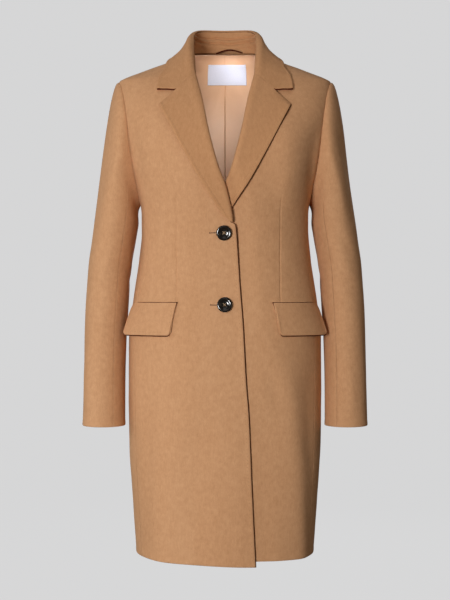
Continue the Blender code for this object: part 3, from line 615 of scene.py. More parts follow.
def front_sink(side, angle, level):
    """How deep the left front lies below the body surface; the right one lies on it."""
    angle, level = np.broadcast_arrays(
        np.asarray(angle, float), np.asarray(level, float)
    )
    if side < 0:
        return np.zeros(angle.shape)
    start, end = UNDER_BLEND
    cover = cover_angle(level)
    under = 1.0 - smooth_step(cover + start, cover + end, angle)
    return UNDER_DEPTH.at("depth", level) * under


def on_front(side, angle, level, height):
    return off_body(side, angle, level, height - front_sink(side, angle, level))


def creased(side, around, level, creases, mean_radius):
    """The rise of soft creases at places given by an angle round and a level."""
    u = np.radians(around) * mean_radius
    rise = np.zeros(np.broadcast(around, level).shape)
    for crease_side, turn, start, to_turn, end, height, width in creases:
        if crease_side != side:
            continue
        a = np.array([math.radians(turn) * mean_radius, start])
        b = np.array([math.radians(to_turn) * mean_radius, end])
        length = np.linalg.norm(b - a)
        way = (b - a) / length
        along = ((u - a[0]) * way[0] + (level - a[1]) * way[1]) / length
        across = (u - a[0]) * way[1] - (level - a[1]) * way[0]
        bend = width * CREASE_BEND * np.sin(np.pi * np.clip(along, -0.2, 1.2))
        fade = smooth_step(*CREASE_STARTS, along) * smooth_step(*CREASE_ENDS, along)
        rise = rise + height * fade * bell(across - bend, width)
    return rise


def armhole_reach(angle, level):
    """Rough distance from the armhole's edge."""
    across = (angle - ARMHOLE_ANGLE) / ARMHOLE_HALF_ANGLE
    up = (level - ARMHOLE_LEVEL) / ARMHOLE_HALF_HEIGHT
    return (np.sqrt(across**2 + up**2) - 1) * np.radians(ARMHOLE_HALF_ANGLE) * BODY_ROUND


UNEVENNESS = (
    # height, and two waves: how fast each runs round and up, and its start on a side
    (0.00022, (61.0, 9.0, 1.3), (5.0, 47.0, 1.0)),
    (0.00014, (118.0, -23.0, 0.0), (0.0, 96.0, 2.1)),
)
CREASES_CLEAR = (0.001, 0.016)  # of the armhole, over which creases fade in


def body_relief(side, angle, level):
    """Creases of the body, and the slight unevenness of pressed wool."""
    u = np.radians(angle) * BODY_ROUND
    creases = creased(side, angle, level, BODY_CREASES, BODY_ROUND)
    rise = creases * smooth_step(*CREASES_CLEAR, armhole_reach(angle, level))
    for height, first, second in UNEVENNESS:
        for by_u, by_level, by_side in (first, second):
            height = height * np.sin(by_u * u + by_level * level + by_side * side)
        rise = rise + height
    return rise


# --- grids ----------------------------------------------------------------------------


def stations(length, near_start=True, near_end=True):
    """Shares of a length: close together near its ends, even between them."""
    start = NEAR_EDGE if near_start else NEAR_EDGE[:1]
    end = NEAR_EDGE if near_end else NEAR_EDGE[:1]
    steps = max(2, round((length - start[-1] - end[-1]) / SPACING))
    middle = np.linspace(start[-1], length - end[-1], steps + 1)[1:-1]
    return np.concatenate([start, middle, (length - end)[::-1]]) / length


def across_shares(widths, count):
    """For each row, shares of its width: close together near both edges."""
    near = NEAR_EDGE[None, :] / widths[:, None]
    middle = near[:, -1:] + (1 - 2 * near[:, -1:]) * np.linspace(0, 1, count + 1)[1:-1]
    return np.concatenate([near, middle, 1 - near[:, ::-1]], axis=1)


def lengths_along(grid, axis):
    """Distance of every point from its line's start."""
    steps = np.linalg.norm(np.diff(grid, axis=axis), axis=-1)
    start = np.zeros_like(np.take(steps, [0], axis=axis))
    return np.concatenate([start, np.cumsum(steps, axis=axis)], axis=axis)


GROOVES = {
    # depth and reach of each part
    "seam": ((0.0005, 0.0011), (0.0002, 0.0035)),
    "pressed": ((0.00022, 0.0010),),
    "none": (),
}
ROUNDED = 0.94  # of half the wall, at a free edge


def edge_drop(distance, kind, wall):
    """How far the cloth's face falls towards an edge: a groove at a seam, round if free."""
    if kind in GROOVES:
        parts = [depth * bell(distance, reach) for depth, reach in GROOVES[kind]]
        return sum(parts, np.zeros_like(distance))
    radius = wall / 2
    inside = np.clip(1 - distance / radius, 0.0, 1.0)
    return radius * ROUNDED * (1 - np.sqrt(1 - inside**2))


def edge_drops(grid, kinds, wall):
    """The drops of outer and inner face, from the first and last column and row."""
    across, along = lengths_along(grid, 1), lengths_along(grid, 0)
    distances = (across, across[:, -1:] - across, along, along[-1:] - along)
    outer, inner = 0.0, 0.0
    for distance, kind in zip(distances, kinds):
        drop = edge_drop(distance, kind, wall)
        outer = np.maximum(outer, drop)
        if kind == "free":
            inner = np.maximum(inner, drop)
    return outer, inner + np.zeros_like(across)


def drawn_in(grid, distance=SEAM_GAP / 2):
    grid = grid.copy()
    grid[0] += distance * unit(grid[1] - grid[0])
    grid[-1] += distance * unit(grid[-2] - grid[-1])
    grid[:, 0] += distance * unit(grid[:, 1] - grid[:, 0])
    grid[:, -1] += distance * unit(grid[:, -2] - grid[:, -1])
    return grid


def normals_of(middle):
    along = np.gradient(middle, axis=0)
    across = np.gradient(middle, axis=1)
    return unit(np.cross(across, along))


def sewn_up_to(end, share):
    """1 where a lapel's or the collar's row is sewn to the other, 0 past the seam's end."""
    short, past = SEWN_FADE
    return 1 - smooth_step(end - short, end + past, share)


def walled(middle, kinds, wall, relief=0.0, sewn=None, sewn_kinds=None):
    """Outer and inner face of a wall round its middle, with its edges finished.

    sewn is where, from 0 to 1, the edges are of sewn_kinds.
    """
    normal = normals_of(middle)
    outer_drop, inner_drop = edge_drops(middle, kinds, wall)
    if sewn is not None:
        sewn_outer, sewn_inner = edge_drops(middle, sewn_kinds, wall)
        outer_drop = outer_drop * (1 - sewn) + sewn_outer * sewn
        inner_drop = inner_drop * (1 - sewn) + sewn_inner * sewn
    outer = middle + normal * (wall / 2 - outer_drop + relief)[..., None]
    inner = middle - normal * (wall / 2 - inner_drop)[..., None]
    return outer, inner


def peeking(inner, middle, amount):
    """The inner face, led a little past the outer one across the piece."""
    way = unit(np.gradient(middle, axis=1))
    return inner + amount[..., None] * way


def through(points, shares):
    """Points at shares of the length of a smooth line through the given points."""
    steps = np.linalg.norm(np.diff(points, axis=0), axis=1)
    knots = np.concatenate([[0.0], np.cumsum(steps)])
    tangents = np.gradient(points, knots, axis=0)
    places = np.clip(shares, 0.0, 1.0) * knots[-1]
    i = np.clip(np.searchsorted(knots, places, side="right") - 1, 0, len(steps) - 1)
    h = steps[i][:, None]
    s = ((places - knots[i]) / steps[i])[:, None]
    return (
        points[i] * (1 + 2 * s) * (1 - s) ** 2
        + tangents[i] * h * s * (1 - s) ** 2
        + points[i + 1] * s**2 * (3 - 2 * s)
        - tangents[i + 1] * h * s**2 * (1 - s)
    )


def read(items, attribute, width, kind=float):
    values = np.empty(len(items) * width, kind)
    items.foreach_get(attribute, values)
    return values.reshape(-1, width) if width > 1 else values


def mesh_of(name, maker):
    mesh = bpy.data.meshes.new(name)
    maker.to_mesh(mesh)
    maker.free()
    return mesh


def placed(name, mesh):
    piece = bpy.data.objects.new(name, mesh)
    bpy.context.scene.collection.objects.link(piece)
    return piece


def dressed(name, mesh, material):
    """A piece of one material, smoothly shaded."""
    mesh.materials.clear()
    mesh.materials.append(material)
    mesh.shade_smooth()
    return placed(name, mesh)


def flat_wall(name, rows, columns):
    """A closed, flat wall: its outer face at height 0 and its inner one at -1."""
    maker = bmesh.new()
    bmesh.ops.create_grid(maker, x_segments=columns, y_segments=rows, size=1.0)
    made = bmesh.ops.extrude_face_region(
        maker, geom=maker.faces[:], use_keep_orig=True
    )
    lowered = [v for v in made["geom"] if isinstance(v, bmesh.types.BMVert)]
    bmesh.ops.translate(maker, vec=(0.0, 0.0, -1.0), verts=lowered)
    bmesh.ops.recalc_face_normals(maker, faces=maker.faces[:])
    return mesh_of(name, maker)


def shell(name, outer, inner, side, materials, inner_zone=None, rim=None):
    """A closed wall between two grids of points.

    inner_zone picks the inner faces' material. rim says, for shares across and along,
    which edge faces take the last material.
    """
    rows, columns = outer.shape[0] - 1, outer.shape[1] - 1
    mesh = flat_wall(name, rows, columns)
    flat = read(mesh.vertices, "co", 3)
    column = np.rint((flat[:, 0] + 1) / 2 * columns).astype(int)
    row = np.rint((flat[:, 1] + 1) / 2 * rows).astype(int)
    is_inner = flat[:, 2] < -0.5
    centres = read(mesh.polygons, "center", 3)
    points = np.where(is_inner[:, None], inner[row, column], outer[row, column])
    mesh.vertices.foreach_set("co", mirrored(points, side).ravel())

    for material in materials:
        mesh.materials.append(material)
    u, v, height = (centres[:, 0] + 1) / 2, (centres[:, 1] + 1) / 2, centres[:, 2]
    index = np.zeros(len(centres), np.int32)
    if inner_zone is not None:
        at_column = np.clip(u * columns, 0, columns - 1).astype(int)
        at_row = np.clip(v * rows, 0, rows - 1).astype(int)
        index[height < -0.9] = inner_zone[at_row, at_column][height < -0.9]
    if rim is not None:
        at_edge = (height > -0.9) & (height < -0.1)
        index[at_edge & rim(u, v)] = len(materials) - 1
    mesh.polygons.foreach_set("material_index", index)

    across = lengths_along(outer, 1)
    along = lengths_along(outer, 0).mean(axis=1)
    vertex = read(mesh.loops, "vertex_index", 1, np.int32)
    uv = np.stack([across[row, column][vertex], along[row][vertex]], axis=-1)
    layer = mesh.uv_layers.new(name="cloth")
    layer.data.foreach_set("uv", uv.ravel())

    r, c = rows // 2, columns // 2
    facing = np.cross(outer[r, c + 1] - outer[r, c], outer[r + 1, c] - outer[r, c])
    if side * np.dot(facing, outer[r, c] - inner[r, c]) < 0:
        mesh.flip_normals()
    mesh.shade_smooth()
    mesh.update()
    return placed(name, mesh)


# --- materials ------------------------------------------------------------------------

NAP_LAYERS = {
    # scale, detail, roughness, weight in the shade
    "fibre": (1500.0, 3.0, 0.60, 0.65),
    "tuft": (430.0, 4.0, 0.65, 0.62),
    "mottle": (120.0, 4.0, 0.60, 0.72),
    "broad": (11.0, 2.0, 0.50, 0.42),
}
WOOL_BUMP = (0.45, 0.0006)  # strength, and height in metres
SATIN_BUMP = (0.12, 0.0002)
TAPE_BUMP = (0.30, 0.0002)
THREAD_BUMP = (0.40, 0.0002)
PLEAT_SHADE_LINE = (0.0002, 0.0007)  # from the centre: the pleat's painted shade line, and its end
PLEAT_SHADE_TOP = (-0.058, -0.046)


class Nodes:
    """Short ways to add the nodes of a material or a group, and to join them."""

    def __init__(self, tree):
        self.tree = tree

    def give(self, socket, value):
        if isinstance(value, bpy.types.NodeSocket):
            self.tree.links.new(value, socket)
        else:
            socket.default_value = value

    def add(self, kind, inputs, **settings):
        """The outputs of a new node."""
        node = self.tree.nodes.new(kind)
        for key, value in settings.items():
            setattr(node, key, value)
        for key, value in inputs.items():
            self.give(node.inputs[key], value)
        return node.outputs

    def place(self, kind):
        return self.add("ShaderNodeTexCoord", {})[kind]

    def mapped(self, place, **how):
        return self.add("ShaderNodeMapping", {"Vector": place, **how})[0]

    def noise(self, place, scale, detail, roughness=0.5):
        given = {"Vector": place, "Scale": scale, "Detail": detail, "Roughness": roughness}
        return self.add("ShaderNodeTexNoise", given)["Fac"]

    def wave(self, place, scale, distortion, way="X"):
        given = {"Vector": place, "Scale": scale, "Distortion": distortion}
        return self.add("ShaderNodeTexWave", given, bands_direction=way)["Fac"]

    def math(self, operation, *values):
        return self.add("ShaderNodeMath", dict(enumerate(values)), operation=operation)[0]

    def ranged(self, value, low=0.0, high=1.0, **to):
        given = {"Value": value, "From Min": low, "From Max": high, **to}
        return self.add("ShaderNodeMapRange", given)[0]

    def mixed(self, factor, none, full):
        given = {"Factor": factor, 6: none, 7: full}
        return self.add("ShaderNodeMix", given, data_type="RGBA")[2]


def colour(shade):
    """A colour given as it shows on a screen, from 0 to 255."""
    screen = np.array(shade) / 255
    linear = np.where(
        screen <= 0.04045, screen / 12.92, ((screen + 0.055) / 1.055) ** 2.4
    )
    return (*linear, 1.0)


def nap_group():
    """Brushed wool: fibres laid one way, mottling, and a broad change of shade."""
    group = bpy.data.node_groups.new("brushed_nap", "ShaderNodeTree")
    for name, way, kind in (
        ("Place", "INPUT", "Vector"),
        ("Light", "INPUT", "Color"),
        ("Middle", "INPUT", "Color"),
        ("Dark", "INPUT", "Color"),
        ("Color", "OUTPUT", "Color"),
        ("Height", "OUTPUT", "Float"),
        ("Roughness", "OUTPUT", "Float"),
    ):
        group.interface.new_socket(name, in_out=way, socket_type=f"NodeSocket{kind}")
    nodes = Nodes(group)
    given = nodes.add("NodeGroupInput", {})
    place = given["Place"]
    laid = nodes.mapped(place, Scale=(1.0, 1.0, 0.22))

    def weighed(value, weight, base):
        out = nodes.math("SUBTRACT", value, 0.5)
        return nodes.math("MULTIPLY_ADD", out, weight, base)

    shade = 0.5
    made = {}
    for name, (scale, detail, roughness, weight) in NAP_LAYERS.items():
        where = place if name == "mottle" else laid
        made[name] = nodes.noise(where, scale, detail, roughness)
        shade = weighed(made[name], weight, shade)
    fibre, tuft = made["fibre"], made["tuft"]
    low = nodes.mixed(nodes.ranged(shade, 0.0, 0.5), given["Dark"], given["Middle"])
    tone = nodes.mixed(nodes.ranged(shade, 0.5, 1.0), low, given["Light"])
    height = weighed(tuft, 0.8, fibre)
    rough = weighed(fibre, 0.18, 0.86)
    nodes.add("NodeGroupOutput", {"Color": tone, "Height": height, "Roughness": rough})
    return group


def new_material(name):
    material = bpy.data.materials.new(name)
    material.use_nodes = True
    tree = material.node_tree
    return material, tree.nodes["Principled BSDF"], Nodes(tree)


def finish(nodes, shader, tone, rough, height=None, bump=None):
    """Lead colour, roughness and relief to a material's shader."""
    nodes.give(shader.inputs["Base Color"], tone)
    nodes.give(shader.inputs["Roughness"], rough)
    if height is not None:
        given = {"Strength": bump[0], "Distance": bump[1], "Height": height}
        nodes.give(shader.inputs["Normal"], nodes.add("ShaderNodeBump", given)[0])


def set_sheen(shader, weight, roughness, tint):
    shader.inputs["Sheen Weight"].default_value = weight
    shader.inputs["Sheen Roughness"].default_value = roughness
    shader.inputs["Sheen Tint"].default_value = (*tint, 1.0)


def wool(name, light, middle, dark, by_uv=False, sheen=0.12):
    material, shader, nodes = new_material(name)
    place = nodes.place("UV" if by_uv else "Object")
    if by_uv:
        place = nodes.mapped(place, Rotation=(math.pi / 2, 0.0, 0.0))
    given = {"Light": colour(light), "Middle": colour(middle), "Dark": colour(dark)}
    nap = nodes.add("ShaderNodeGroup", {"Place": place, **given}, node_tree=NAP)
    finish(nodes, shader, nap["Color"], nap["Roughness"], nap["Height"], WOOL_BUMP)
    shader.inputs["Specular IOR Level"].default_value = 0.18
    set_sheen(shader, sheen, 0.50, (0.95, 0.80, 0.62))
    return material


def satin(name, light, dark, fold):
    """The lining: a smooth twill with a quiet sheen, and a painted shade line along its centre
    pleat.
    """
    material, shader, nodes = new_material(name)
    place = nodes.place("UV")
    turned = nodes.mapped(place, Rotation=(0.0, 0.0, 1.05), Scale=(1500.0, 1500.0, 1.0))
    twill = nodes.wave(turned, 1.0, 0.6)
    cloud = nodes.noise(place, 38.0, 3.0)
    blend = nodes.math("MULTIPLY_ADD", twill, 0.25, cloud)
    plain = nodes.mixed(blend, colour(dark), colour(light))
    spot = nodes.add("ShaderNodeSeparateXYZ", {"Vector": nodes.place("Object")})
    beside = nodes.ranged(nodes.math("ABSOLUTE", spot["X"]), *PLEAT_SHADE_LINE)
    above = nodes.ranged(spot["Z"], *PLEAT_SHADE_TOP)
    # The fold colour paints the pleat's shade as a thin line at the centre, below its top.
    tone = nodes.mixed(nodes.math("MAXIMUM", beside, above), colour(fold), plain)
    rough = nodes.ranged(cloud, **{"To Min": 0.36, "To Max": 0.5})
    finish(nodes, shader, tone, rough, twill, SATIN_BUMP)
    set_sheen(shader, 0.12, 0.4, (1.0, 0.9, 0.8))
    return material


def woven(name, light, dark, count):
    """A plain weave of fine threads, for the label."""
    material, shader, nodes = new_material(name)
    scaled = nodes.mapped(nodes.place("UV"), Scale=(count, count, 1.0))
    threads = [nodes.wave(scaled, 1.0, 0.4, way) for way in ("X", "Y")]
    weave = nodes.math("MAXIMUM", *threads)
    tone = nodes.mixed(weave, colour(dark), colour(light))
    finish(nodes, shader, tone, 0.62, weave, TAPE_BUMP)
    return material


def polished_horn(name, light, dark):
    """Dark horn: streaks of brown in near black."""
    material, shader, nodes = new_material(name)
    place = nodes.place("Object")
    turned = nodes.mapped(place, Rotation=(0.0, 0.6, 0.0), Scale=(70.0, 70.0, 420.0))
    streak = nodes.noise(turned, 1.6, 4.0)
    tone = nodes.mixed(nodes.ranged(streak, 0.45, 0.8), dark, light)
    rough = nodes.ranged(streak, **{"To Min": 0.10, "To Max": 0.24})
    finish(nodes, shader, tone, rough)
    shader.inputs["Coat Weight"].default_value = 0.6
    return material


def twisted(name, light, dark):
    """Thread of two plies."""
    material, shader, nodes = new_material(name)
    twist = nodes.wave(nodes.place("Object"), 900.0, 1.5, "DIAGONAL")
    tone = nodes.mixed(twist, colour(dark), colour(light))
    finish(nodes, shader, tone, 0.6, twist, THREAD_BUMP)
    return material


NAP = nap_group()
CAMEL = wool("camel_wool", (221, 172, 130), (206, 155, 113), (188, 136, 94))
CAMEL_TURNED = wool(
    "camel_wool_turned", (212, 162, 118), (197, 145, 102), (178, 125, 83), by_uv=True
)
# Painted shade: a dark wool for the rims led out past turned edges and for the loop, standing
# in for the shadow deep in a fold and under an edge.
CAMEL_PAINTED_SHADE = wool(
    "camel_wool_underside", (98, 40, 14), (78, 28, 8), (56, 18, 4), by_uv=True, sheen=0.0
)
# The third colour is the painted shade of the centre pleat.
LINING = satin("peach_satin", (226, 182, 148), (212, 166, 132), (150, 104, 74))
LABEL = woven("white_tape", (219, 224, 244), (202, 207, 228), 1900.0)
HORN = polished_horn("dark_horn", (0.022, 0.011, 0.005, 1), (0.0025, 0.002, 0.0018, 1))
THREAD = twisted("camel_thread", (192, 145, 102), (156, 108, 68))
HOLE_THREAD = twisted("dark_camel_thread", (150, 104, 66), (104, 66, 38))
BUTTON_THREAD = twisted("button_thread", (188, 160, 128), (120, 92, 64))
# Painted shade: the dark of the buttonhole's open slit.
SLIT_SHADE = twisted("buttonhole_slit_shade", (58, 34, 20), (34, 18, 10))


# --- the coat's panels ----------------------------------------------------------------


def armhole(turn):
    turn = np.radians(turn)
    angle = ARMHOLE_ANGLE - ARMHOLE_HALF_ANGLE * np.sin(turn)
    return angle, ARMHOLE_LEVEL + ARMHOLE_HALF_HEIGHT * np.cos(turn)


SEAM_LEVEL = float(armhole(ARMHOLE_SEAM_TURN)[1])
LEAST_WIDTH = 0.03  # by which the points across a narrow row are spread
HEM_BEND_POWER = 3  # by which a front's rows bend down to its own hem
SIDE_BEND_POWER = 6  # by which a side's rows bend up to the armhole


def panel_rows():
    """Row places from hem (0) over the armhole's foot (1) to the top (2)."""
    length = SEAM_LEVEL - HEM_LEVEL
    skirt = stations(length, near_end=False)
    extra = (FLAP_TOP_LEVEL - HEM_LEVEL) / length + FLAP_ROWS * 1e-4 / SKIRT_LENGTH
    clear = (skirt < extra[0] - FLAP_ROWS_CLEAR) | (skirt > extra[-1] + FLAP_ROWS_CLEAR)
    skirt = np.sort(np.concatenate([skirt[clear], extra]))
    return np.concatenate([skirt, 1 + stations(YOKE_LENGTH, near_start=False)[1:]])


def skirt_level(rows):
    """Level of each row, up to the armhole's foot."""
    return HEM_LEVEL + (SEAM_LEVEL - HEM_LEVEL) * np.minimum(rows, 1.0)


def side_edge(rows, seam):
    """A front's or back's outer edge: the side seam, then the armhole to its top."""
    low = rows <= 1
    level = skirt_level(rows)
    turn = ARMHOLE_SEAM_TURN * (2 - np.maximum(rows, 1.0))
    hole_angle, hole_level = armhole(turn)
    if seam == "back_angle":
        hole_angle = 2 * ARMHOLE_ANGLE - hole_angle
    return (
        np.where(low, SIDE_SEAMS.at(seam, level), hole_angle),
        np.where(low, level, hole_level),
    )


def widths_between(side, first, second):
    """Length of each row on the body surface, from its two ends' angle and level."""
    share = np.linspace(0, 1, 9)[None, :]
    angle = first[0][:, None] * (1 - share) + second[0][:, None] * share
    level = first[1][:, None] * (1 - share) + second[1][:, None] * share
    return lengths_along(body(side, angle, level), 1)[:, -1]


def between(first, second, shares):
    return [
        np.asarray(a)[:, None] * (1 - shares) + np.asarray(b)[:, None] * shares
        for a, b in zip(first, second)
    ]


def front_panel(side):
    """Angle and level of a front's points, and the column on which its dart lies."""
    hem = OVER_HEM_LEVEL if side < 0 else UNDER_HEM_LEVEL
    edge_table = OVER_EDGE if side < 0 else UNDER_EDGE
    rows = panel_rows()
    in_yoke = rows > 1
    bend = (1 - np.minimum(rows, 1.0)) ** HEM_BEND_POWER
    level = skirt_level(rows) + (hem - HEM_LEVEL) * bend
    upper = SEAM_LEVEL + (NECK_POINT_LEVEL - SEAM_LEVEL) * (rows - 1)
    level = np.where(in_yoke, upper, level)
    out = np.where(
        level < BREAK_LEVEL, -edge_table.at("past", level), ROLL.at("out", level)
    )
    angle = angle_at(side, out, level)
    angle[-1] = ARMHOLE_ANGLE
    seam = side_edge(rows, "front_angle")
    dart_level = np.minimum(level, DART_TOP_LEVEL)
    dart_out = DARTS.at("left_out" if side > 0 else "right_out", dart_level)
    dart_angle = angle_at(side, dart_out, dart_level)
    # The dart keeps its share of the width above the armhole's foot.
    share_at = (dart_angle - angle) / np.where(in_yoke, 1.0, seam[0] - angle)
    share_at = np.where(in_yoke, share_at[np.searchsorted(rows, 1.0)], share_at)
    dart = (
        angle + (seam[0] - angle) * share_at,
        level + (seam[1] - level) * share_at,
    )
    parts = []
    for first, second, count in zip(((angle, level), dart), (dart, seam), FRONT_COLUMNS):
        shares = across_shares(widths_between(side, first, second), count)
        parts.append(between(first, second, shares))
    column = parts[0][0].shape[1] - 1
    grids = [np.concatenate([a[:, :-1], b], axis=1) for a, b in zip(*parts)]
    return grids[0], grids[1], column


def back_panel(side):
    rows = panel_rows()
    climb = np.maximum(rows - 1, 0.0) / NAPE_ROW
    centre = SEAM_LEVEL + (NAPE_LEVEL - SEAM_LEVEL) * np.minimum(climb, 1.0)
    turn = BACK_NECK_TURN * np.clip((rows - 1 - NAPE_ROW) * 3, 0.0, 1.0)
    upper = np.where(climb < 1, centre, NECKLINE.at("level", turn))
    level = np.where(rows <= 1, skirt_level(rows), upper)
    angle = np.where(climb < 1, 180.0, NECKLINE.at("angle", turn))
    seam = side_edge(rows, "back_angle")
    widths = np.maximum(widths_between(side, (angle, level), seam), LEAST_WIDTH)
    return between((angle, level), seam, across_shares(widths, BACK_COLUMNS))


def side_panel(side):
    rows = panel_rows()
    rows = rows[rows <= 1]
    extra = 1 - NEAR_EDGE[::-1] / SKIRT_LENGTH
    rows = np.concatenate([rows[rows < extra[0]], extra])
    level = HEM_LEVEL + (SEAM_LEVEL - HEM_LEVEL) * rows
    first = (SIDE_SEAMS.at("front_angle", level), level)
    second = (SIDE_SEAMS.at("back_angle", level), level)
    shares = across_shares(widths_between(side, first, second), SIDE_COLUMNS)
    angle, level = between(first, second, shares)
    turn = ARMHOLE_SEAM_TURN + (360 - 2 * ARMHOLE_SEAM_TURN) * shares[-1]
    top_angle, top_level = armhole(turn)
    lift = rows[:, None] ** SIDE_BEND_POWER
    return angle + lift * (top_angle - angle[-1]), level + lift * (top_level - level[-1])


surfaces = {}
coat = {}


def keep(node, side, outer, inner, materials, zone=None, rim=None, drawn=True):
    """Make a node's cloth, and keep its outer face for the stitches."""
    surfaces[node] = mirrored(outer, side)
    if drawn:
        outer, inner = drawn_in(outer), drawn_in(inner)
    coat[node] = shell(f"{node}_cloth", outer, inner, side, materials, zone, rim)


def hem_swell(from_hem):
    height, reach = HEM_SWELL
    return height * bell(from_hem - reach, reach)


def body_shell(node, side, angle, level, kinds, relief=0.0, height=0.0, facing=-1.0, peek=0.0):
    """A panel's cloth. Inside, a facing and the hem's turn-up are wool, the rest lining."""
    base = body(side, angle, level)
    normal = body_normal(side, angle, level)
    middle = base + (height + np.zeros(angle.shape))[..., None] * normal
    from_hem = lengths_along(base, 0)
    rise = body_relief(side, angle, level) + (relief + hem_swell(from_hem))
    outer_drop, inner_drop = edge_drops(middle, kinds, WALL)
    across = lengths_along(middle, 1)
    lined = ((level > HEM_LEVEL + HEM_TURN_UP) & (across > facing)).astype(int)
    outer = middle + (rise - outer_drop)[..., None] * normal
    depth = rise * INNER_SHARE - WALL - LINED_STEP * lined + inner_drop
    inner = middle + depth[..., None] * normal
    above, below = PEEK_START
    below_break = smooth_step(BREAK_LEVEL + above, BREAK_LEVEL + below, level)
    inner = peeking(inner, middle, -peek * below_break * bell(across, PEEK_REACH))
    # On the right front, the facing's rim at the front edge takes the painted shade.
    rim = (lambda u, v: u < RIM) if peek else None
    keep(node, side, outer, inner, [CAMEL, LINING, CAMEL_PAINTED_SHADE], lined, rim)


def jet_relief(angle, level):
    """The cloth's lip just above the flap, where the flap comes out of its slit."""
    past, within = JET_END
    across = JET_RISE
    for end, way in zip(FLAP_TOP_ANGLES, (1, -1)):
        across = across * smooth_step(end - way * past, end + way * within, angle)
    above = level - FLAP_TOP_LEVEL - SLIT_WIDTH
    return across * np.where(above > 0, bell(above, JET_REACH), 0.0)


def turned_edge(distance):
    """A turned and stitched edge: it swells, with a shallow line at the stitches."""
    return sum(rise * bell(distance - at, reach) for rise, at, reach in TURNED_EDGE)


def make_fronts():
    for side, word in SIDES:
        angle, level, dart_column = front_panel(side)
        across = lengths_along(body(side, angle, level), 1)
        from_dart = across - across[:, dart_column][:, None]
        groove = sum(share * bell(from_dart, reach) for share, reach in DART_SINK)
        dart = DARTS.at("depth", level) * groove
        edge = turned_edge(across) * smooth_step(*FRONT_EDGE_START, level)
        body_shell(
            f"front_{word}", side, angle, level, ("free", "pressed", "free", "seam"),
            edge - dart + jet_relief(angle, level), -front_sink(side, angle, level),
            FACING_WIDTH, FRONT_PEEK if side < 0 else 0.0,
        )


def make_backs_and_sides():
    for side, word in SIDES:
        angle, level = back_panel(side)
        kinds = ("seam", "pressed", "free", "seam")
        body_shell(f"back_{word}", side, angle, level, kinds)
        angle, level = side_panel(side)
        kinds = ("pressed", "pressed", "free", "seam")
        body_shell(f"side_{word}", side, angle, level, kinds)


# --- sleeves --------------------------------------------------------------------------


def sleeve_ring(level, turn):
    sine, cosine = np.sin(np.radians(turn)), np.cos(np.radians(turn))
    return np.stack(
        [
            SLEEVE.at("out", level) + SLEEVE.at("half_width", level) * cosine,
            -SLEEVE.at("forward", level) - SLEEVE.at("half_depth", level) * sine,
            level + np.zeros_like(turn),
        ],
        axis=-1,
    )


def sleeve_surface(side, turn, row):
    """The sleeve's outer surface: rows from 0 to 1 are its head, 1 to 2 its arm."""
    turn, row = np.broadcast_arrays(turn, row)
    arm = sleeve_ring(
        SLEEVE_TOP_LEVEL + (CUFF_LEVEL - SLEEVE_TOP_LEVEL) * (row - 1), turn
    )
    angle, level = armhole(turn)
    start = off_body(side, angle, level, SEAM_GAP)
    top = np.full(turn.shape, SLEEVE_TOP_LEVEL)
    end = sleeve_ring(top, turn)
    down = unit(sleeve_ring(top - 0.01, turn) - end)
    cosine, sine = np.cos(np.radians(turn)), np.sin(np.radians(turn))
    from_top = np.degrees(np.arccos(np.clip(cosine, -1, 1)))
    out_handle = np.stack(
        [
            SLEEVE_HEAD.at("start_out", from_top),
            -SLEEVE_HEAD.at("start_forward", from_top) * np.sign(sine),
            SLEEVE_HEAD.at("start_up", from_top),
        ],
        axis=-1,
    )
    down_handle = down * SLEEVE_HEAD.at("end_reach", from_top)[..., None]
    s = np.clip(row, 0.0, 1.0)[..., None]
    head = (
        start * (1 - s) ** 3
        + (start + out_handle) * 3 * s * (1 - s) ** 2
        + (end - down_handle) * 3 * s**2 * (1 - s)
        + end * s**3
    )
    return np.where((row > 1)[..., None], arm, head)


def sleeve_cloth(side, turn, rows):
    """The sleeve's outer surface and its normals."""
    surface = sleeve_surface(side, turn, rows[:, None])
    after, before = [
        sleeve_surface(side, turn + step, rows[:, None])
        for step in (SLEEVE_TURN_STEP, -SLEEVE_TURN_STEP)
    ]
    around = after - before
    normal = unit(np.cross(around, -np.gradient(surface, axis=0)))
    # Above the armhole's middle the cloth faces up as well as out.
    level = np.minimum(surface[..., 2], ARMHOLE_LEVEL)
    centre = np.stack(
        [SLEEVE.at("out", level), -SLEEVE.at("forward", level), level], axis=-1
    )
    facing = np.sum((surface - centre) * normal, axis=-1, keepdims=True)
    return surface, np.where(facing < 0, -normal, normal)


def around_armhole(side, turn, grown, depth):
    """Points below the body surface, round the armhole's edge made larger or smaller."""
    angle, level = armhole(turn)
    angle = ARMHOLE_ANGLE + (angle - ARMHOLE_ANGLE) * grown
    level = ARMHOLE_LEVEL + (level - ARMHOLE_LEVEL) * grown
    return off_body(side, angle, level, -depth)


def with_allowance(side, turn, outer, inner):
    """The sleeve's two faces, led on below the panels as its turned seam allowance."""
    made = []
    for face, short, depth in (
        (outer, ALLOWANCE_TURN[0], ALLOWANCE_DEPTH),
        (inner, ALLOWANCE_TURN[1], ALLOWANCE_DEPTH + ALLOWANCE_WALL),
    ):
        rim = around_armhole(side, turn, 1 + ALLOWANCE, depth)
        fold = around_armhole(side, turn, 1 - short, depth)
        made.append(np.concatenate([rim, fold, face]))
    return made


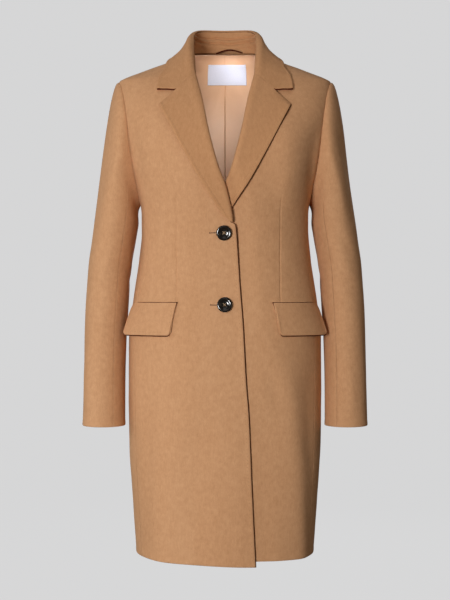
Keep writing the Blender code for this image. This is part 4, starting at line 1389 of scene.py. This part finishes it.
def make_sleeve(node, side, turn, rows, has_crown):
    surface, normal = sleeve_cloth(side, turn, rows)
    level = surface[..., 2]
    turn_here = turn + np.zeros_like(level)
    from_head = lengths_along(surface, 0)
    to_cuff = from_head[-1:] - from_head
    relief = creased(side, turn_here, level, SLEEVE_CREASES, SLEEVE_ROUND)
    relief = relief * smooth_step(0.0, SLEEVE_CREASES_CLEAR, from_head)
    crown = np.cos(np.radians(np.clip(turn_here, -90, 90))) ** 2 * has_crown
    rise, reach = CROWN_RISE
    relief = relief + rise * crown * bell(from_head, reach) + hem_swell(to_cuff)
    outer_drop, inner_drop = edge_drops(
        surface, ("pressed", "pressed", "seam", "free"), SLEEVE_WALL
    )
    share, reach = CROWN_FILLS
    outer_drop = outer_drop * (1 - share * crown * bell(from_head, reach))
    lined = (to_cuff > CUFF_TURN_UP).astype(int)
    depth = relief * INNER_SHARE - SLEEVE_WALL - LINED_STEP * lined + inner_drop
    outer = surface + (relief - outer_drop)[..., None] * normal
    inner = surface + depth[..., None] * normal
    outer, inner = with_allowance(side, turn, outer, inner)
    lined = np.concatenate([lined[:2], lined])
    keep(node, side, outer, inner, [CAMEL, LINING], lined)


def make_sleeves():
    head = stations(SLEEVE_HEAD_LENGTH, near_end=False)
    arm = stations(SLEEVE_ARM_LENGTH, near_start=False)
    rows = np.concatenate([head, 1 + arm[1:]])
    seam = SLEEVE_SEAM_TURN
    for side, word in SIDES:
        for name, first, last, width in (
            ("top_sleeve", -seam, seam, TOP_SLEEVE_WIDTH),
            ("under_sleeve", seam, 360 - seam, UNDER_SLEEVE_WIDTH),
        ):
            turn = first + (last - first) * stations(width)[None, :]
            make_sleeve(f"{name}_{word}", side, turn, rows, name == "top_sleeve")


# --- lapels and collar ----------------------------------------------------------------


def lapel_row(side, rise, narrowed=1.0):
    """The lapel's wall middle along one row, from the roll line to its outer edge."""
    roll_level = BREAK_LEVEL + (GORGE_LEVEL - BREAK_LEVEL) * rise
    start = np.array([ROLL.at("out", roll_level), roll_level])
    end = np.array([LAPEL_EDGE.at("out", rise), LAPEL_EDGE.at("level", rise)])
    width = np.linalg.norm(end - start)
    low, high = ROLL_HEIGHT
    roll_height = low + (high - low) * rise
    reaches = [past for past, _, _ in ROLL_SECTION]
    heights = [share * roll_height + fixed for _, share, fixed in ROLL_SECTION]
    for share in FALL_SHARES:
        reaches.append(reaches[3] + (width - reaches[3]) * share)
        heights.append(roll_height + (EDGE_HEIGHT - roll_height) * share)
    reaches = np.array(reaches) * narrowed
    places = start + reaches[:, None] * (end - start) / width
    angle = angle_at(side, places[:, 0], places[:, 1])
    return on_front(side, angle, places[:, 1], np.array(heights))


def spread_row(line, count):
    """A smooth row through a few points, with more points close to both its ends."""
    length = lengths_along(line[None], 1)[0, -1]
    near = NEAR_EDGE / length
    if near[-1] > 0.45:
        near = near * 0.45 / near[-1]
    first = np.linspace(0, 0.012 / max(length, 0.03), 9)
    rest = first[-1] + (1 - near[-1] - first[-1]) * np.linspace(0, 1, count)[1:-1]
    return through(line, np.concatenate([first, rest, 1 - near[::-1]]))


def make_lapels():
    upper = stations(LAPEL_LENGTH, near_start=False)[1:]
    foot_rises = np.linspace(LAPEL_FIRST_RISE, LAPEL_FOOT, LAPEL_FOOT_ROWS)
    rises = np.concatenate([foot_rises, upper * (1 - LAPEL_FOOT) + LAPEL_FOOT])
    rises = np.unique(np.clip(rises, 0, 1))
    grow_rises, spring_reach = LAPEL_SPRING
    laid_past, laid_reach = LAPEL_LAID
    for side, word in SIDES:
        rows = []
        for rise in rises:
            foot = np.clip(1 - rise / LAPEL_FOOT, 0.0, 1.0)
            narrowed = max(np.sqrt(1 - foot**2), LAPEL_FIRST_WIDTH)
            rows.append(spread_row(lapel_row(side, rise, narrowed), LAPEL_COLUMNS))
        middle = np.stack(rows)
        across, along = lengths_along(middle, 1), lengths_along(middle, 0)
        from_edge, from_top = across[:, -1:] - across, along[-1:] - along
        share = across / across[:, -1:]
        grown = smooth_step(*grow_rises, rises)[:, None] * bell(from_edge, spring_reach)
        laid = smooth_step(GORGE_SHARE, GORGE_SHARE + laid_past, share)
        laid = laid * bell(from_top, laid_reach)
        spring = EDGE_SPRING * grown * (1 - laid) - LAPEL_TOP_SINK * laid
        middle = middle + spring[..., None] * normals_of(middle)
        outer, inner = walled(
            middle, ("none", "free", "none", "free"), TURNED_WALL,
            turned_edge(from_edge) * TURNED_SHARE,
            sewn_up_to(GORGE_SHARE, share),
            ("none", "free", "none", "pressed"),
        )
        shows = side > 0
        # The left lapel's inner face is led past its outer edge, so that its rim shows a line
        # of painted shade.
        inner = peeking(inner, middle, LAPEL_SHADE_PEEK * shows * bell(from_edge, PEEK_REACH))
        rim = (lambda u, v: u > 1 - RIM) if shows else None
        keep(f"lapel_{word}", side, outer, inner, [CAMEL_TURNED, CAMEL_PAINTED_SHADE], rim=rim)


def clear_of_body(points, clearance):
    for _ in range(4):
        angle = np.degrees(np.arctan2(points[..., 0], -points[..., 1]))
        level = points[..., 2]
        surface = body(1, angle, level)
        normal = body_normal(1, angle, level)
        height = np.sum((points - surface) * normal, axis=-1)
        push = np.maximum(clearance - height, 0.0)
        points = points + push[..., None] * normal
    return points


def collar_end():
    """The fall's front end: the gorge seam, then the free edge to the collar's point."""
    top_row = lapel_row(-1, 1.0)
    gorge = top_row + SEAM_GAP * unit(top_row - lapel_row(-1, 0.97))
    sewn = len(ROLL_SECTION) + 2
    tip = off_body(-1, FALL_EDGE.at("angle", 1.0), FALL_EDGE.at("level", 1.0), EDGE_HEIGHT)
    free = [gorge[sewn - 1] + (tip - gorge[sewn - 1]) * share for share in (0.5, 1.0)]
    return np.concatenate([gorge[:sewn], free])


def facing_out(vectors, points):
    sign = np.sum(vectors[:, :2] * points[:, :2], axis=-1, keepdims=True)
    return unit(np.where(sign < 0, -vectors, vectors))


def square_to(vectors, along):
    along = unit(along)
    return unit(vectors - np.sum(vectors * along, axis=-1, keepdims=True) * along)


def stand_frame(turns):
    top = np.stack([STAND_TOP.at(column, turns) for column in ("out", "y", "z")], axis=-1)
    angle, level = NECKLINE.at("angle", turns), NECKLINE.at("level", turns)
    foot = body(1, angle, level)
    lean = STAND_LEAN * body_normal(1, angle, level)
    tangent = np.gradient(top, axis=0)
    tangent[0] = (1.0, 0.0, 0.0)
    up = square_to(top - foot + lean, tangent)
    return top, foot, up, facing_out(np.cross(up, tangent), top), tangent


def collar_turns():
    near = NEAR_EDGE / COLLAR_HALF_LENGTH
    return np.concatenate([np.linspace(0, 1 - near[-1], COLLAR_ROWS), 1 - near[::-1][1:]])


def collar_fall_side():
    turns = collar_turns()
    top, _, up, stand_outward, tangent = stand_frame(turns)
    edge = body(1, FALL_EDGE.at("angle", turns), FALL_EDGE.at("level", turns))
    fall = edge - top
    width = np.linalg.norm(fall, axis=-1, keepdims=True)
    down = fall / width
    outward = facing_out(np.cross(down, tangent), top)
    columns = []
    roll_height = ROLL_HEIGHT[1]
    for (past, share, fixed), turned in zip(ROLL_SECTION, ROLL_TURNED):
        over = unit(square_to(down, tangent) * turned - up * (1 - turned))
        away = unit(outward * turned + stand_outward * (1 - turned))
        columns.append(top + past * over + (share * roll_height + fixed) * away)
    start = ROLL_SECTION[-1][0]
    for share in FALL_SHARES:
        height = roll_height + (EDGE_HEIGHT - roll_height) * share
        columns.append(top + (start + (width - start) * share) * down + height * outward)
    middle = np.stack(columns, axis=1)
    cleared = clear_of_body(middle[:, 4:], EDGE_HEIGHT)
    middle = np.concatenate([middle[:, :4], cleared], axis=1)
    pull = (turns**COLLAR_END_POWER)[:, None, None]
    return middle + pull * (collar_end() - middle[-1])


def both_sides(one_side):
    return np.concatenate([mirrored(one_side[:0:-1], -1), one_side])


def make_collar_fall():
    coarse = both_sides(collar_fall_side())
    # From the wearer's left end to the right one, so that the normals face outwards.
    middle = np.stack([spread_row(line, COLLAR_COLUMNS) for line in coarse])[::-1]
    across, along = lengths_along(middle, 1), lengths_along(middle, 0)
    share = across / across[:, -1:]
    from_front = np.minimum(along, along[-1:] - along)
    end = lengths_along(coarse[-1][None], 1)[0]
    seam_end = end[len(ROLL_SECTION) + 1] / end[-1]
    spring, reach = COLLAR_SPRING
    loose = smooth_step(seam_end, 1.0, share) * bell(from_front, reach)
    to_front = np.where(along < from_front + 1e-9, -1.0, 1.0)[..., None]
    way = unit(np.gradient(middle, axis=0)) * to_front
    middle = middle + (spring * EDGE_SPRING * loose)[..., None] * normals_of(middle)
    middle = middle + (COLLAR_END_DROP * loose)[..., None] * way
    outer, inner = walled(
        middle, ("none", "free", "free", "free"), TURNED_WALL,
        turned_edge(across[:, -1:] - across) * TURNED_SHARE,
        sewn_up_to(seam_end, share),
        ("none", "free", "pressed", "pressed"),
    )
    short, past = NOTCH_FADE
    free = smooth_step(seam_end - short, seam_end + past, share)
    # The free ends' inner face is led down past the collar's edge, so that their rims show a
    # line of painted shade.
    inner = inner + (NOTCH_PEEK * free * bell(from_front, PEEK_REACH))[..., None] * way
    keep(
        "collar_fall", 1, outer, inner, [CAMEL_TURNED, CAMEL_PAINTED_SHADE], drawn=False,
        rim=lambda u, v: (np.minimum(v, 1 - v) < RIM) & (u > GORGE_SHARE),
    )


def make_collar_stand():
    """The stand: rows of stitches with puffed cloth between them, and a loop's mouth."""
    turns = np.linspace(0, STAND_END_TURN, COLLAR_ROWS)
    top, foot, up, outward, _ = stand_frame(turns)
    normal = body_normal(1, NECKLINE.at("angle", turns), NECKLINE.at("level", turns))
    rise = SEAM_GAP + STAND_FOOT_RISE * np.clip(normal[:, 2:], 0.0, 1.0)
    foot = foot - outward * WALL / 2 + rise * np.array([0.0, 0.0, 1.0])
    top = top - outward * WALL / 2 - up * SEAM_GAP
    shares = np.linspace(0, 1, STAND_COLUMNS)[None, :, None]
    middle = both_sides(foot[:, None] * (1 - shares) + top[:, None] * shares)
    outer, inner = walled(middle, ("none",) * 4, TURNED_WALL)
    wave, pace = STAND_WAVE
    height = middle[..., 2] + wave * np.sin(middle[..., 0] * pace)
    relief = sum(rise * bell(height - level, reach) for rise, level, reach in STAND_QUILT)
    inner = inner + unit(inner - outer) * relief[..., None]
    x = middle[:, 0, 0]
    first, last = LOOP_ENDS
    opened = smooth_step(first, first + LOOP_SLIT_END, x)
    mouth = LOOP_SLIT * opened * smooth_step(last, last - LOOP_SLIT_END, x)
    raised = mouth[:, None] * bell(shares[..., 0], LOOP_SLIT_REACH)
    outer[..., 2] += raised
    inner[..., 2] += raised
    places = np.linspace(0, 1, len(x))
    # Where the mouth is open, the rim of the stand's foot takes the painted shade.
    dark = LOOP_SLIT_DARK * LOOP_SLIT
    keep(
        "collar_stand", 1, outer, inner, [CAMEL_TURNED, CAMEL_PAINTED_SHADE], drawn=False,
        rim=lambda u, v: (u < RIM) & (np.interp(v, places, mouth) > dark),
    )


# --- flaps, lining, label, loop -------------------------------------------------------


def make_flaps():
    across = stations(FLAP_LENGTH)[None, :]
    down = stations(FLAP_DEPTH)[:, None]
    top_angle, foot_angle = [
        first + (last - first) * across
        for first, last in (FLAP_TOP_ANGLES, FLAP_FOOT_ANGLES)
    ]
    angle = top_angle * (1 - down) + foot_angle * down
    from_end = np.minimum(across, 1 - across) * FLAP_LENGTH
    inside = np.clip(1 - from_end / FLAP_CORNER, 0.0, 1.0)
    corner = FLAP_CORNER * FLAP_CORNER_DEPTH * (1 - np.sqrt(1 - inside**2))
    level = FLAP_TOP_LEVEL + (FLAP_FOOT_LEVEL + corner - FLAP_TOP_LEVEL) * down
    inner_lift, outer_lift = FLAP_FOOT_LIFTS
    foot_lift = inner_lift + (outer_lift - inner_lift) * across**2
    lift = FLAP_LIFT + (foot_lift - FLAP_LIFT) * down**FLAP_LIFT_POWER
    at_top = bell(down * FLAP_DEPTH, FLAP_TOP_LIFT_REACH)
    lift = lift + (FLAP_TOP_LIFT - FLAP_LIFT) * at_top
    for side, word in SIDES:
        middle = off_body(side, angle, level, lift)
        width, height = lengths_along(middle, 1), lengths_along(middle, 0)
        thinned = bell(height, FLAP_TOP_WALL_REACH)
        wall = FLAP_WALL + (FLAP_TOP_WALL - FLAP_WALL) * thinned
        normal = normals_of(middle)
        if np.mean(normal[..., 1]) > 0:
            normal = -normal
        drop, _ = edge_drops(middle, ("free", "free", "none", "free"), FLAP_WALL)
        edge = np.minimum(
            np.minimum(width, width[:, -1:] - width), height[-1:] - height
        )
        below_top = smooth_step(0.0, FLAP_EDGE_START, height)
        relief = turned_edge(edge) * TURNED_SHARE * below_top
        half = wall / 2 - np.minimum(drop, wall / 2 * ROUNDED)
        outer = middle + normal * (half + relief)[..., None]
        inner = middle - normal * half[..., None]
        inner = peeking(inner, middle, -FLAP_PEEK * bell(width, PEEK_REACH))
        into_slit = FLAP_TOP_PEEK * smooth_step(*FLAP_TOP_PEEK_END, across)
        into_slit = into_slit * bell(height, FLAP_TOP_PEEK_REACH)
        lower = FLAP_PEEK * bell(height[-1:] - height, PEEK_REACH)
        down_way = unit(np.gradient(middle, axis=0))
        inner = inner + (lower - into_slit)[..., None] * down_way
        # The flap's rims at the inner, top and lower edges take the painted shade.
        keep(
            f"flap_{word}", side, outer, inner, [CAMEL, CAMEL_PAINTED_SHADE], drawn=False,
            rim=lambda u, v: (u < RIM) | (v < RIM) | (v > 1 - RIM),
        )


def lining_half(side):
    """Outer and inner face of one half of the lining, from the centre pleat outwards."""
    angle, level = back_panel(side)
    kept = level[:, 0] > LINING_HEM_LEVEL
    stop = int(angle.shape[1] * LINING_SHARE)
    angle, level = angle[kept, :stop], level[kept, :stop]
    points = body(side, angle, level)
    normal = body_normal(side, angle, level)
    rise = body_relief(side, angle, level)
    u = lengths_along(points, 1)
    aside = points[..., 0]
    pleat = PLEAT_DEPTH * (1 - bell(aside, PLEAT_REACH))
    pleat = pleat + PLEAT_STEP * np.exp(-aside / PLEAT_STEP_REACH) * (side > 0)
    turns = np.linspace(BACK_NECK_TURN, 0.0, 41)
    neck = np.interp(angle, NECKLINE.at("angle", turns), NECKLINE.at("level", turns))
    tuck = bell(neck - level, LINING_TUCK)
    wave = np.sin(u * 150 + level * 31 + side) * np.sin(level * 40 + u * 22)
    soft = np.abs(LINING_WAVE * wave)
    faces = []
    for wall in (0.0, LINING_WALL):
        depth = WALL + LAID_GAP + wall + pleat + soft - (pleat + soft) * tuck
        made = points + (np.minimum(rise, 0.0) - depth)[..., None] * normal
        faces.append(mirrored(made, side))
    return faces


def make_lining():
    outer, inner = [
        np.concatenate([right[:, :0:-1], left], axis=1)
        for right, left in zip(lining_half(-1), lining_half(1))
    ]
    keep("lining_back", 1, outer, inner, [LINING], drawn=False)


def make_label():
    columns = np.linspace(*LABEL_OUT, 61)
    levels = np.linspace(*LABEL_LEVELS, 31)
    depth = WALL + LAID_GAP + LINING_WALL + LABEL_GAP
    spots = np.broadcast_to(levels[:, None], (len(levels), len(columns)))
    angles = angle_at(1, columns[None, :], spots, ON_BACK)
    normal = body_normal(1, angles, spots)
    u = (columns[None, :] - columns[0]) / (columns[-1] - columns[0])
    v = (spots - levels[0]) / (levels[-1] - levels[0])
    edge = np.minimum(np.minimum(u, 1 - u) * LABEL_RATIO, np.minimum(v, 1 - v))
    wave = LABEL_WAVE * np.sin(u * 9.0 + 1.0) * np.sin(v * 5.0)
    sink, place, reach = LABEL_SEWN
    sewn = sink * bell(edge - place, reach)
    outer = body(1, angles, spots) - depth * normal
    inner = outer - (LABEL_WALL + wave - sewn + 0.0002)[..., None] * normal
    coat["neck_label"] = shell("neck_label_tape", outer, inner, 1, [LABEL])


def make_loop():
    """A narrow cord, sewn in below the stand at both ends; its dark colour is painted shade.
    """
    share = np.linspace(0, 1, 41)
    arch = np.sin(np.pi * share)
    outs = LOOP_ENDS[0] + (LOOP_ENDS[1] - LOOP_ENDS[0]) * share
    angle = angle_at(1, outs, NAPE_LEVEL, ON_BACK)
    depth = WALL + LOOP_RADIUS + LAID_GAP + LOOP_STAND_OFF * arch
    place = off_body(1, angle, NAPE_LEVEL, -depth)
    place[:, 2] = LOOP_FOOT_Z + LOOP_RISE * arch
    curve = bpy.data.curves.new("hanger_loop_line", "CURVE")
    curve.dimensions = "3D"
    curve.bevel_depth = LOOP_RADIUS
    curve.bevel_resolution = 3
    curve.use_fill_caps = True
    spline = curve.splines.new("POLY")
    spline.points.add(len(place) - 1)
    for point, spot in zip(spline.points, place):
        point.co = (*spot, 1.0)
    rod = placed("hanger_loop_rod", curve)
    mesh = bpy.data.meshes.new_from_object(rod)
    bpy.data.objects.remove(rod)
    coat["hanger_loop"] = dressed("hanger_loop_cord", mesh, CAMEL_PAINTED_SHADE)


# --- buttons, buttonholes and stitches ------------------------------------------------


def button_place(x, level):
    """The matrix that lays a button on the right front."""
    angle = angle_at(-1, -x, level)
    place = Vector(mirrored(body(-1, angle, level), -1))
    facing = Vector(mirrored(body_normal(-1, angle, level), -1))
    return Matrix.Translation(place) @ facing.to_track_quat("Z", "Y").to_matrix().to_4x4()


BUTTON_PROFILE = (
    # radius as a share, height above the cloth
    (0.000, 0.0040),
    (0.300, 0.0040),
    (0.480, 0.0042),
    (0.560, 0.0046),
    (0.600, 0.0053),
    (0.640, 0.0058),
    (0.700, 0.0061),
    (0.800, 0.0063),
    (0.880, 0.0062),
    (0.940, 0.0058),
    (0.980, 0.0052),
    (1.000, 0.0045),
    (0.985, 0.0038),
    (0.930, 0.0031),
    (0.800, 0.0025),
    (0.600, 0.0022),
    (0.240, 0.0022),
    (0.200, 0.0008),
    (0.000, 0.0008),
)
THREAD_HOLE = (0.0011, 0.0060, 0.0055)  # radius, length, and height of its middle
THREAD_HOLE_OUT = 0.0024
SHARP_ANGLE = math.radians(50)
STRAND_SIZE = (0.0041, 0.00036, 0.0007)
STRAND_PITCH = 0.00042
STRAND_LAYERS = ((-45.0, 0.0044), (45.0, 0.0048))  # turn and height


def turned_body(name, profile, steps):
    maker = bmesh.new()
    vertices = [maker.verts.new((r, 0.0, z)) for r, z in profile]
    edges = [maker.edges.new(pair) for pair in zip(vertices, vertices[1:])]
    bmesh.ops.spin(
        maker, geom=vertices + edges, cent=(0, 0, 0), axis=(0, 0, 1),
        angle=math.tau, steps=steps, use_merge=True,
    )
    bmesh.ops.remove_doubles(maker, verts=maker.verts[:], dist=1e-6)
    bmesh.ops.recalc_face_normals(maker, faces=maker.faces[:])
    return mesh_of(name, maker)


def thread_holes():
    radius, length, middle = THREAD_HOLE
    holes = bmesh.new()
    for across in (-THREAD_HOLE_OUT, THREAD_HOLE_OUT):
        for up in (-THREAD_HOLE_OUT, THREAD_HOLE_OUT):
            bmesh.ops.create_cone(
                holes, cap_ends=True, segments=20, radius1=radius, radius2=radius,
                depth=length, matrix=Matrix.Translation((across, up, middle)),
            )
    return mesh_of("thread_holes", holes)


def pierced(blank, cutter):
    """The blank's mesh with its holes cut. Both objects are taken away."""
    cut = blank.modifiers.new("Holes", "BOOLEAN")
    cut.object = cutter
    cut.operation = "DIFFERENCE"
    cut.solver = "EXACT"
    graph = bpy.context.evaluated_depsgraph_get()
    mesh = bpy.data.meshes.new_from_object(blank.evaluated_get(graph))
    bpy.data.objects.remove(blank)
    bpy.data.objects.remove(cutter)
    return mesh


def strands():
    """The crossed threads that show between a button's four holes."""
    sewing = bmesh.new()
    for strand in range(-1, 2):
        for turn, height in STRAND_LAYERS:
            spin = Matrix.Rotation(math.radians(turn), 4, "Z")
            move = Matrix.Translation((0.0, strand * STRAND_PITCH, height))
            size = Matrix.Diagonal((*STRAND_SIZE, 1.0))
            bmesh.ops.create_uvsphere(
                sewing, u_segments=10, v_segments=8, radius=1.0,
                matrix=spin @ move @ size @ Matrix.Rotation(math.pi / 2, 4, "Y"),
            )
    return sewing


def make_buttons():
    profile = [(share * BUTTON_RADIUS, height) for share, height in BUTTON_PROFILE]
    cutter = thread_holes()
    for name, (x, level) in BUTTONS.items():
        blank = placed(f"{name}_blank", turned_body(name, profile, 72))
        mesh = pierced(blank, placed("thread_holes", cutter))
        mesh.transform(button_place(x, level))
        coat[name] = dressed(f"{name}_horn", mesh, HORN)
        mesh.set_sharp_from_angle(angle=SHARP_ANGLE)
        sewing = strands()
        sewing.transform(button_place(x, level))
        node = f"{name}_sewing"
        coat[node] = dressed(node, mesh_of(node, sewing), BUTTON_THREAD)


def stitch_at(maker, place, along, out, size):
    """One small stitch: a grain of thread lying along the seam."""
    along = Vector(along).normalized()
    side = Vector(out).normalized().cross(along).normalized()
    turn = Matrix((along, side, along.cross(side))).transposed().to_4x4()
    spot = Matrix.Translation(Vector(place)) @ turn @ Matrix.Diagonal((*size, 1.0))
    bmesh.ops.create_uvsphere(
        maker, u_segments=6, v_segments=4, radius=1.0,
        matrix=spot @ Matrix.Rotation(math.pi / 2, 4, "Y"),
    )


STITCH_SIZE = (0.00125, 0.00032, 0.00030)
STITCH_PITCH = 0.0062
CORNER_POINTS = 9  # of a line's points left without stitches at a corner
FLAP_TOP_POINTS = 6  # and at the flap's top


def stitch_line(maker, line, normals):
    """Stitches at an even pitch along a line of points."""
    places = lengths_along(line[None], 1)[0]

    def at(values, place):
        return np.array([np.interp(place, places, values[:, i]) for i in range(3)])

    for number in range(1, int(places[-1] / STITCH_PITCH)):
        place = number * STITCH_PITCH
        spot = at(line, place)
        out = at(normals, place)
        ahead = at(line, place + 0.001) - spot
        stitch_at(maker, spot, ahead, out / np.linalg.norm(out), STITCH_SIZE)


def line_of(values, grid, from_end):
    """A grid's values at the stitches' distance from its first or last column."""
    across = lengths_along(grid, 1)
    if from_end:
        across = across[:, -1:] - across
    line = []
    for row, places in zip(values, across):
        order = np.argsort(places)
        line.append([np.interp(STITCH_IN, places[order], row[order, i]) for i in range(3)])
    return np.array(line)


def edge_line(grid, from_end):
    """The line of an edge's stitches, and the normals there, to the front."""
    normals = line_of(normals_of(grid), grid, from_end)
    if np.mean(normals[:, 1]) > 0:
        normals = -normals
    return line_of(grid, grid, from_end), normals


def make_stitches():
    """Hand-picked stitches inside the turned edges, clear of the corners."""
    maker = bmesh.new()
    line, out = edge_line(surfaces["front_right"], False)
    kept = (line[:, 2] > OVER_HEM_LEVEL + 0.006) & (line[:, 2] < BREAK_LEVEL)
    stitch_line(maker, line[kept], out[kept])
    for _, word in SIDES:
        line, out = edge_line(surfaces[f"lapel_{word}"], True)
        stitch_line(maker, line[CORNER_POINTS:], out[CORNER_POINTS:])
    for _, word in SIDES:
        flap = surfaces[f"flap_{word}"]
        foot = np.transpose(flap, (1, 0, 2))
        for grid, from_end, first in (
            (flap, False, FLAP_TOP_POINTS),
            (flap, True, FLAP_TOP_POINTS),
            (foot, True, CORNER_POINTS),
        ):
            line, out = edge_line(grid, from_end)
            clear = slice(first, -CORNER_POINTS)
            stitch_line(maker, line[clear], out[clear])
    grid = surfaces["collar_fall"]
    clear = slice(CORNER_POINTS, -CORNER_POINTS)
    line = line_of(grid, grid, True)[clear]
    normal = normals_of(grid)[:, -9][clear]
    inward = np.sum(normal[:, :2] * line[:, :2], axis=1, keepdims=True) < 0
    stitch_line(maker, line, np.where(inward, -normal, normal))
    mesh = mesh_of("pick_stitches", maker)
    coat["pick_stitches"] = dressed("pick_stitches", mesh, THREAD)


def on_right_front(x, level):
    """A point on the right front's outer face, and its normal."""
    angle = angle_at(-1, -x, level)
    rise = body_relief(-1, angle, level)
    normal = body_normal(-1, angle, level)
    point = body(-1, angle, level) + rise * normal
    return mirrored(point, -1), mirrored(normal, -1)


HOLE_ENDS = (-0.0238, -0.0015)  # from the button's middle
HOLE_STITCHES = 26
HOLE_STITCH_SIZE = (0.00062, 0.00030, 0.00030)
HOLE_HALF_WIDTH = 0.00062
EYELET_STITCHES = 9
EYELET_RADIUS = 0.0014
SLIT_SIZE = (0.0112, 0.00030, 0.0004)


def make_buttonholes():
    """Worked buttonholes of the right front: two rows of thread, an eyelet, and a dark sliver
    of painted shade in the slit.
    """
    maker, slit = bmesh.new(), bmesh.new()
    start, end = HOLE_ENDS
    for x, level in BUTTONS.values():
        for number in range(HOLE_STITCHES):
            along = start + (end - start) * number / (HOLE_STITCHES - 1)
            for edge in (-1, 1):
                spot, out = on_right_front(x + along, level + edge * HOLE_HALF_WIDTH)
                stitch_at(maker, spot, (0.0, 0.0, 1.0), out, HOLE_STITCH_SIZE)
        for number in range(EYELET_STITCHES):
            turn = math.radians(90 + number * 22.5)
            ray = (math.cos(turn), math.sin(turn))
            spot, out = on_right_front(
                x + start + ray[0] * EYELET_RADIUS, level + ray[1] * EYELET_RADIUS
            )
            stitch_at(maker, spot, (ray[0], 0.0, ray[1]), out, HOLE_STITCH_SIZE)
        spot, out = on_right_front(x + (start + end) / 2, level)
        stitch_at(slit, spot, (1.0, 0.0, 0.0), out, SLIT_SIZE)
    for name, made, material in (
        ("buttonhole_thread", maker, HOLE_THREAD), ("buttonhole_slits", slit, SLIT_SHADE),
    ):
        coat[name] = dressed(name, mesh_of(name, made), material)


# --- stage ----------------------------------------------------------------------------

CAMERA_BACK = 2.3
CAMERA_LEVEL = -0.433
CAMERA_LENS = 75.82
ROOM_RADIUS = 6.0
ROOM_HEIGHT = 7.0
FLOOR_LEVEL = -1.30
FLOOR_SHARE = 0.6  # of the radius, flat
BEND_STEPS = 8
COAT_MIDDLE = (0.0, 0.0, -0.40)
WHITE = (1.0, 1.0, 1.0)
LAMPS = (
    # name, place, size, power, tint
    ("key", (-0.9, -2.5, -0.5), 0.6, 41.5, WHITE),
    ("far_left", (-2.6, -0.6, -0.2), 1.2, 16.0, WHITE),
    ("top", (0.0, -0.4, 1.9), 1.4, 7.0, WHITE),
    ("front_high", (-0.2, -2.4, 1.1), 1.2, 2.5, WHITE),
    ("right", (1.7, -2.0, -0.2), 1.2, 3.0, (1.0, 0.84, 0.68)),
    ("back", (0.5, 2.6, 0.3), 1.6, 26.0, WHITE),
)


def make_stage():
    """A pale floor that curves up into a wall all round."""
    flat, bend = ROOM_RADIUS * FLOOR_SHARE, ROOM_RADIUS * (1 - FLOOR_SHARE)
    profile = [(0.0, FLOOR_LEVEL), (flat, FLOOR_LEVEL)]
    for step in range(1, BEND_STEPS + 1):
        turn = math.pi / 2 * step / BEND_STEPS
        up = FLOOR_LEVEL + bend * (1 - math.cos(turn))
        profile.append((flat + bend * math.sin(turn), up))
    profile.append((ROOM_RADIUS, ROOM_HEIGHT))
    material, shader, nodes = new_material("pale_paper")
    finish(nodes, shader, (0.02, 0.02, 0.02, 1.0), 1.0)
    shader.inputs["Specular IOR Level"].default_value = 0.0
    shader.inputs["Emission Color"].default_value = (0.668, 0.668, 0.672, 1.0)
    shader.inputs["Emission Strength"].default_value = 1.0
    studio = dressed("studio", turned_body("studio", profile, 96), material)
    studio.visible_diffuse = False
    studio.visible_glossy = False
    studio.visible_shadow = False


def area_light(name, place, size, power, tint, target=COAT_MIDDLE):
    data = bpy.data.lights.new(name, "AREA")
    data.shape = "SQUARE"
    data.size = size
    data.energy = power
    data.color = tint
    light = placed(name, data)
    light.location = place
    way = Vector(target) - Vector(place)
    light.rotation_euler = way.to_track_quat("-Z", "Y").to_euler()
    light.visible_camera = False
    return light


def make_lights():
    """A small key from the left front at waist height, and soft light all round."""
    world = bpy.data.worlds.new("studio_air")
    world.use_nodes = True
    air = world.node_tree.nodes["Background"]
    air.inputs["Color"].default_value = (1.0, 0.90, 0.74, 1.0)
    air.inputs["Strength"].default_value = 0.10
    bpy.context.scene.world = world
    for lamp in LAMPS:
        area_light(*lamp)
    inside = area_light(
        "neck", (0.02, -1.6, -0.21), 0.7, 25.0, (1.0, 0.97, 0.91), (0.0, 0.05, -0.08)
    )
    lit = bpy.data.collections.new("inside_of_the_neck")
    for name in ("lining_back", "neck_label"):
        lit.objects.link(coat[name])
    inside.light_linking.receiver_collection = lit


def make_camera():
    data = bpy.data.cameras.new("camera")
    data.lens = CAMERA_LENS
    data.sensor_width = 36.0
    camera = placed("camera", data)
    camera.location = (0.0, -CAMERA_BACK, CAMERA_LEVEL)
    camera.rotation_euler = (math.pi / 2, 0.0, 0.0)
    bpy.context.scene.camera = camera


# Flat cut of each piece, without its seam allowances.
CUTS = {
    # node: width, length, area, held, what it hangs from or lies on
    "front": (0.230, 0.950, 0.180, "hung", ("back_{side}",)),
    "back": (0.224, 0.980, 0.171, "hung", ()),
    "side": (0.134, 0.660, 0.078, "hung", ("front_{side}", "back_{side}")),
    "top_sleeve": (0.250, 0.640, 0.116, "hung", ("front_{side}", "back_{side}")),
    "under_sleeve": (0.120, 0.460, 0.045, "hung", ("top_sleeve_{side}",)),
    "lapel": (0.100, 0.280, 0.015, "folded", ("front_{side}",)),
    "flap": (0.120, 0.059, 0.0069, "hung", ("front_{side}",)),
    "collar_fall": (0.470, 0.091, 0.032, "folded", ("back_right", "back_left")),
    "collar_stand": (0.383, 0.041, 0.0097, "folded", ("back_right", "back_left")),
    "lining_back": (0.416, 0.953, 0.309, "hung", ("back_right", "back_left")),
    "neck_label": (0.074, 0.039, 0.0028, "laid", ("lining_back",)),
}


def declare_sheets():
    for name, piece in coat.items():
        kind, _, word = name.rpartition("_")
        cut = CUTS.get(name) or CUTS.get(kind if word in ("left", "right") else "")
        if cut is None:
            continue


def hand_over():
    for name, piece in coat.items():
        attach(piece, "root")
        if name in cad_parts:
            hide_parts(name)


for make in (
    make_fronts, make_backs_and_sides, make_sleeves, make_lapels, make_collar_fall,
    make_collar_stand, make_flaps, make_lining, make_label, make_loop, make_buttons,
    make_stitches, make_buttonholes, make_stage, make_lights, make_camera,
    hand_over, declare_sheets,
):
    make()

bpy.context.scene.view_settings.view_transform = "Standard"
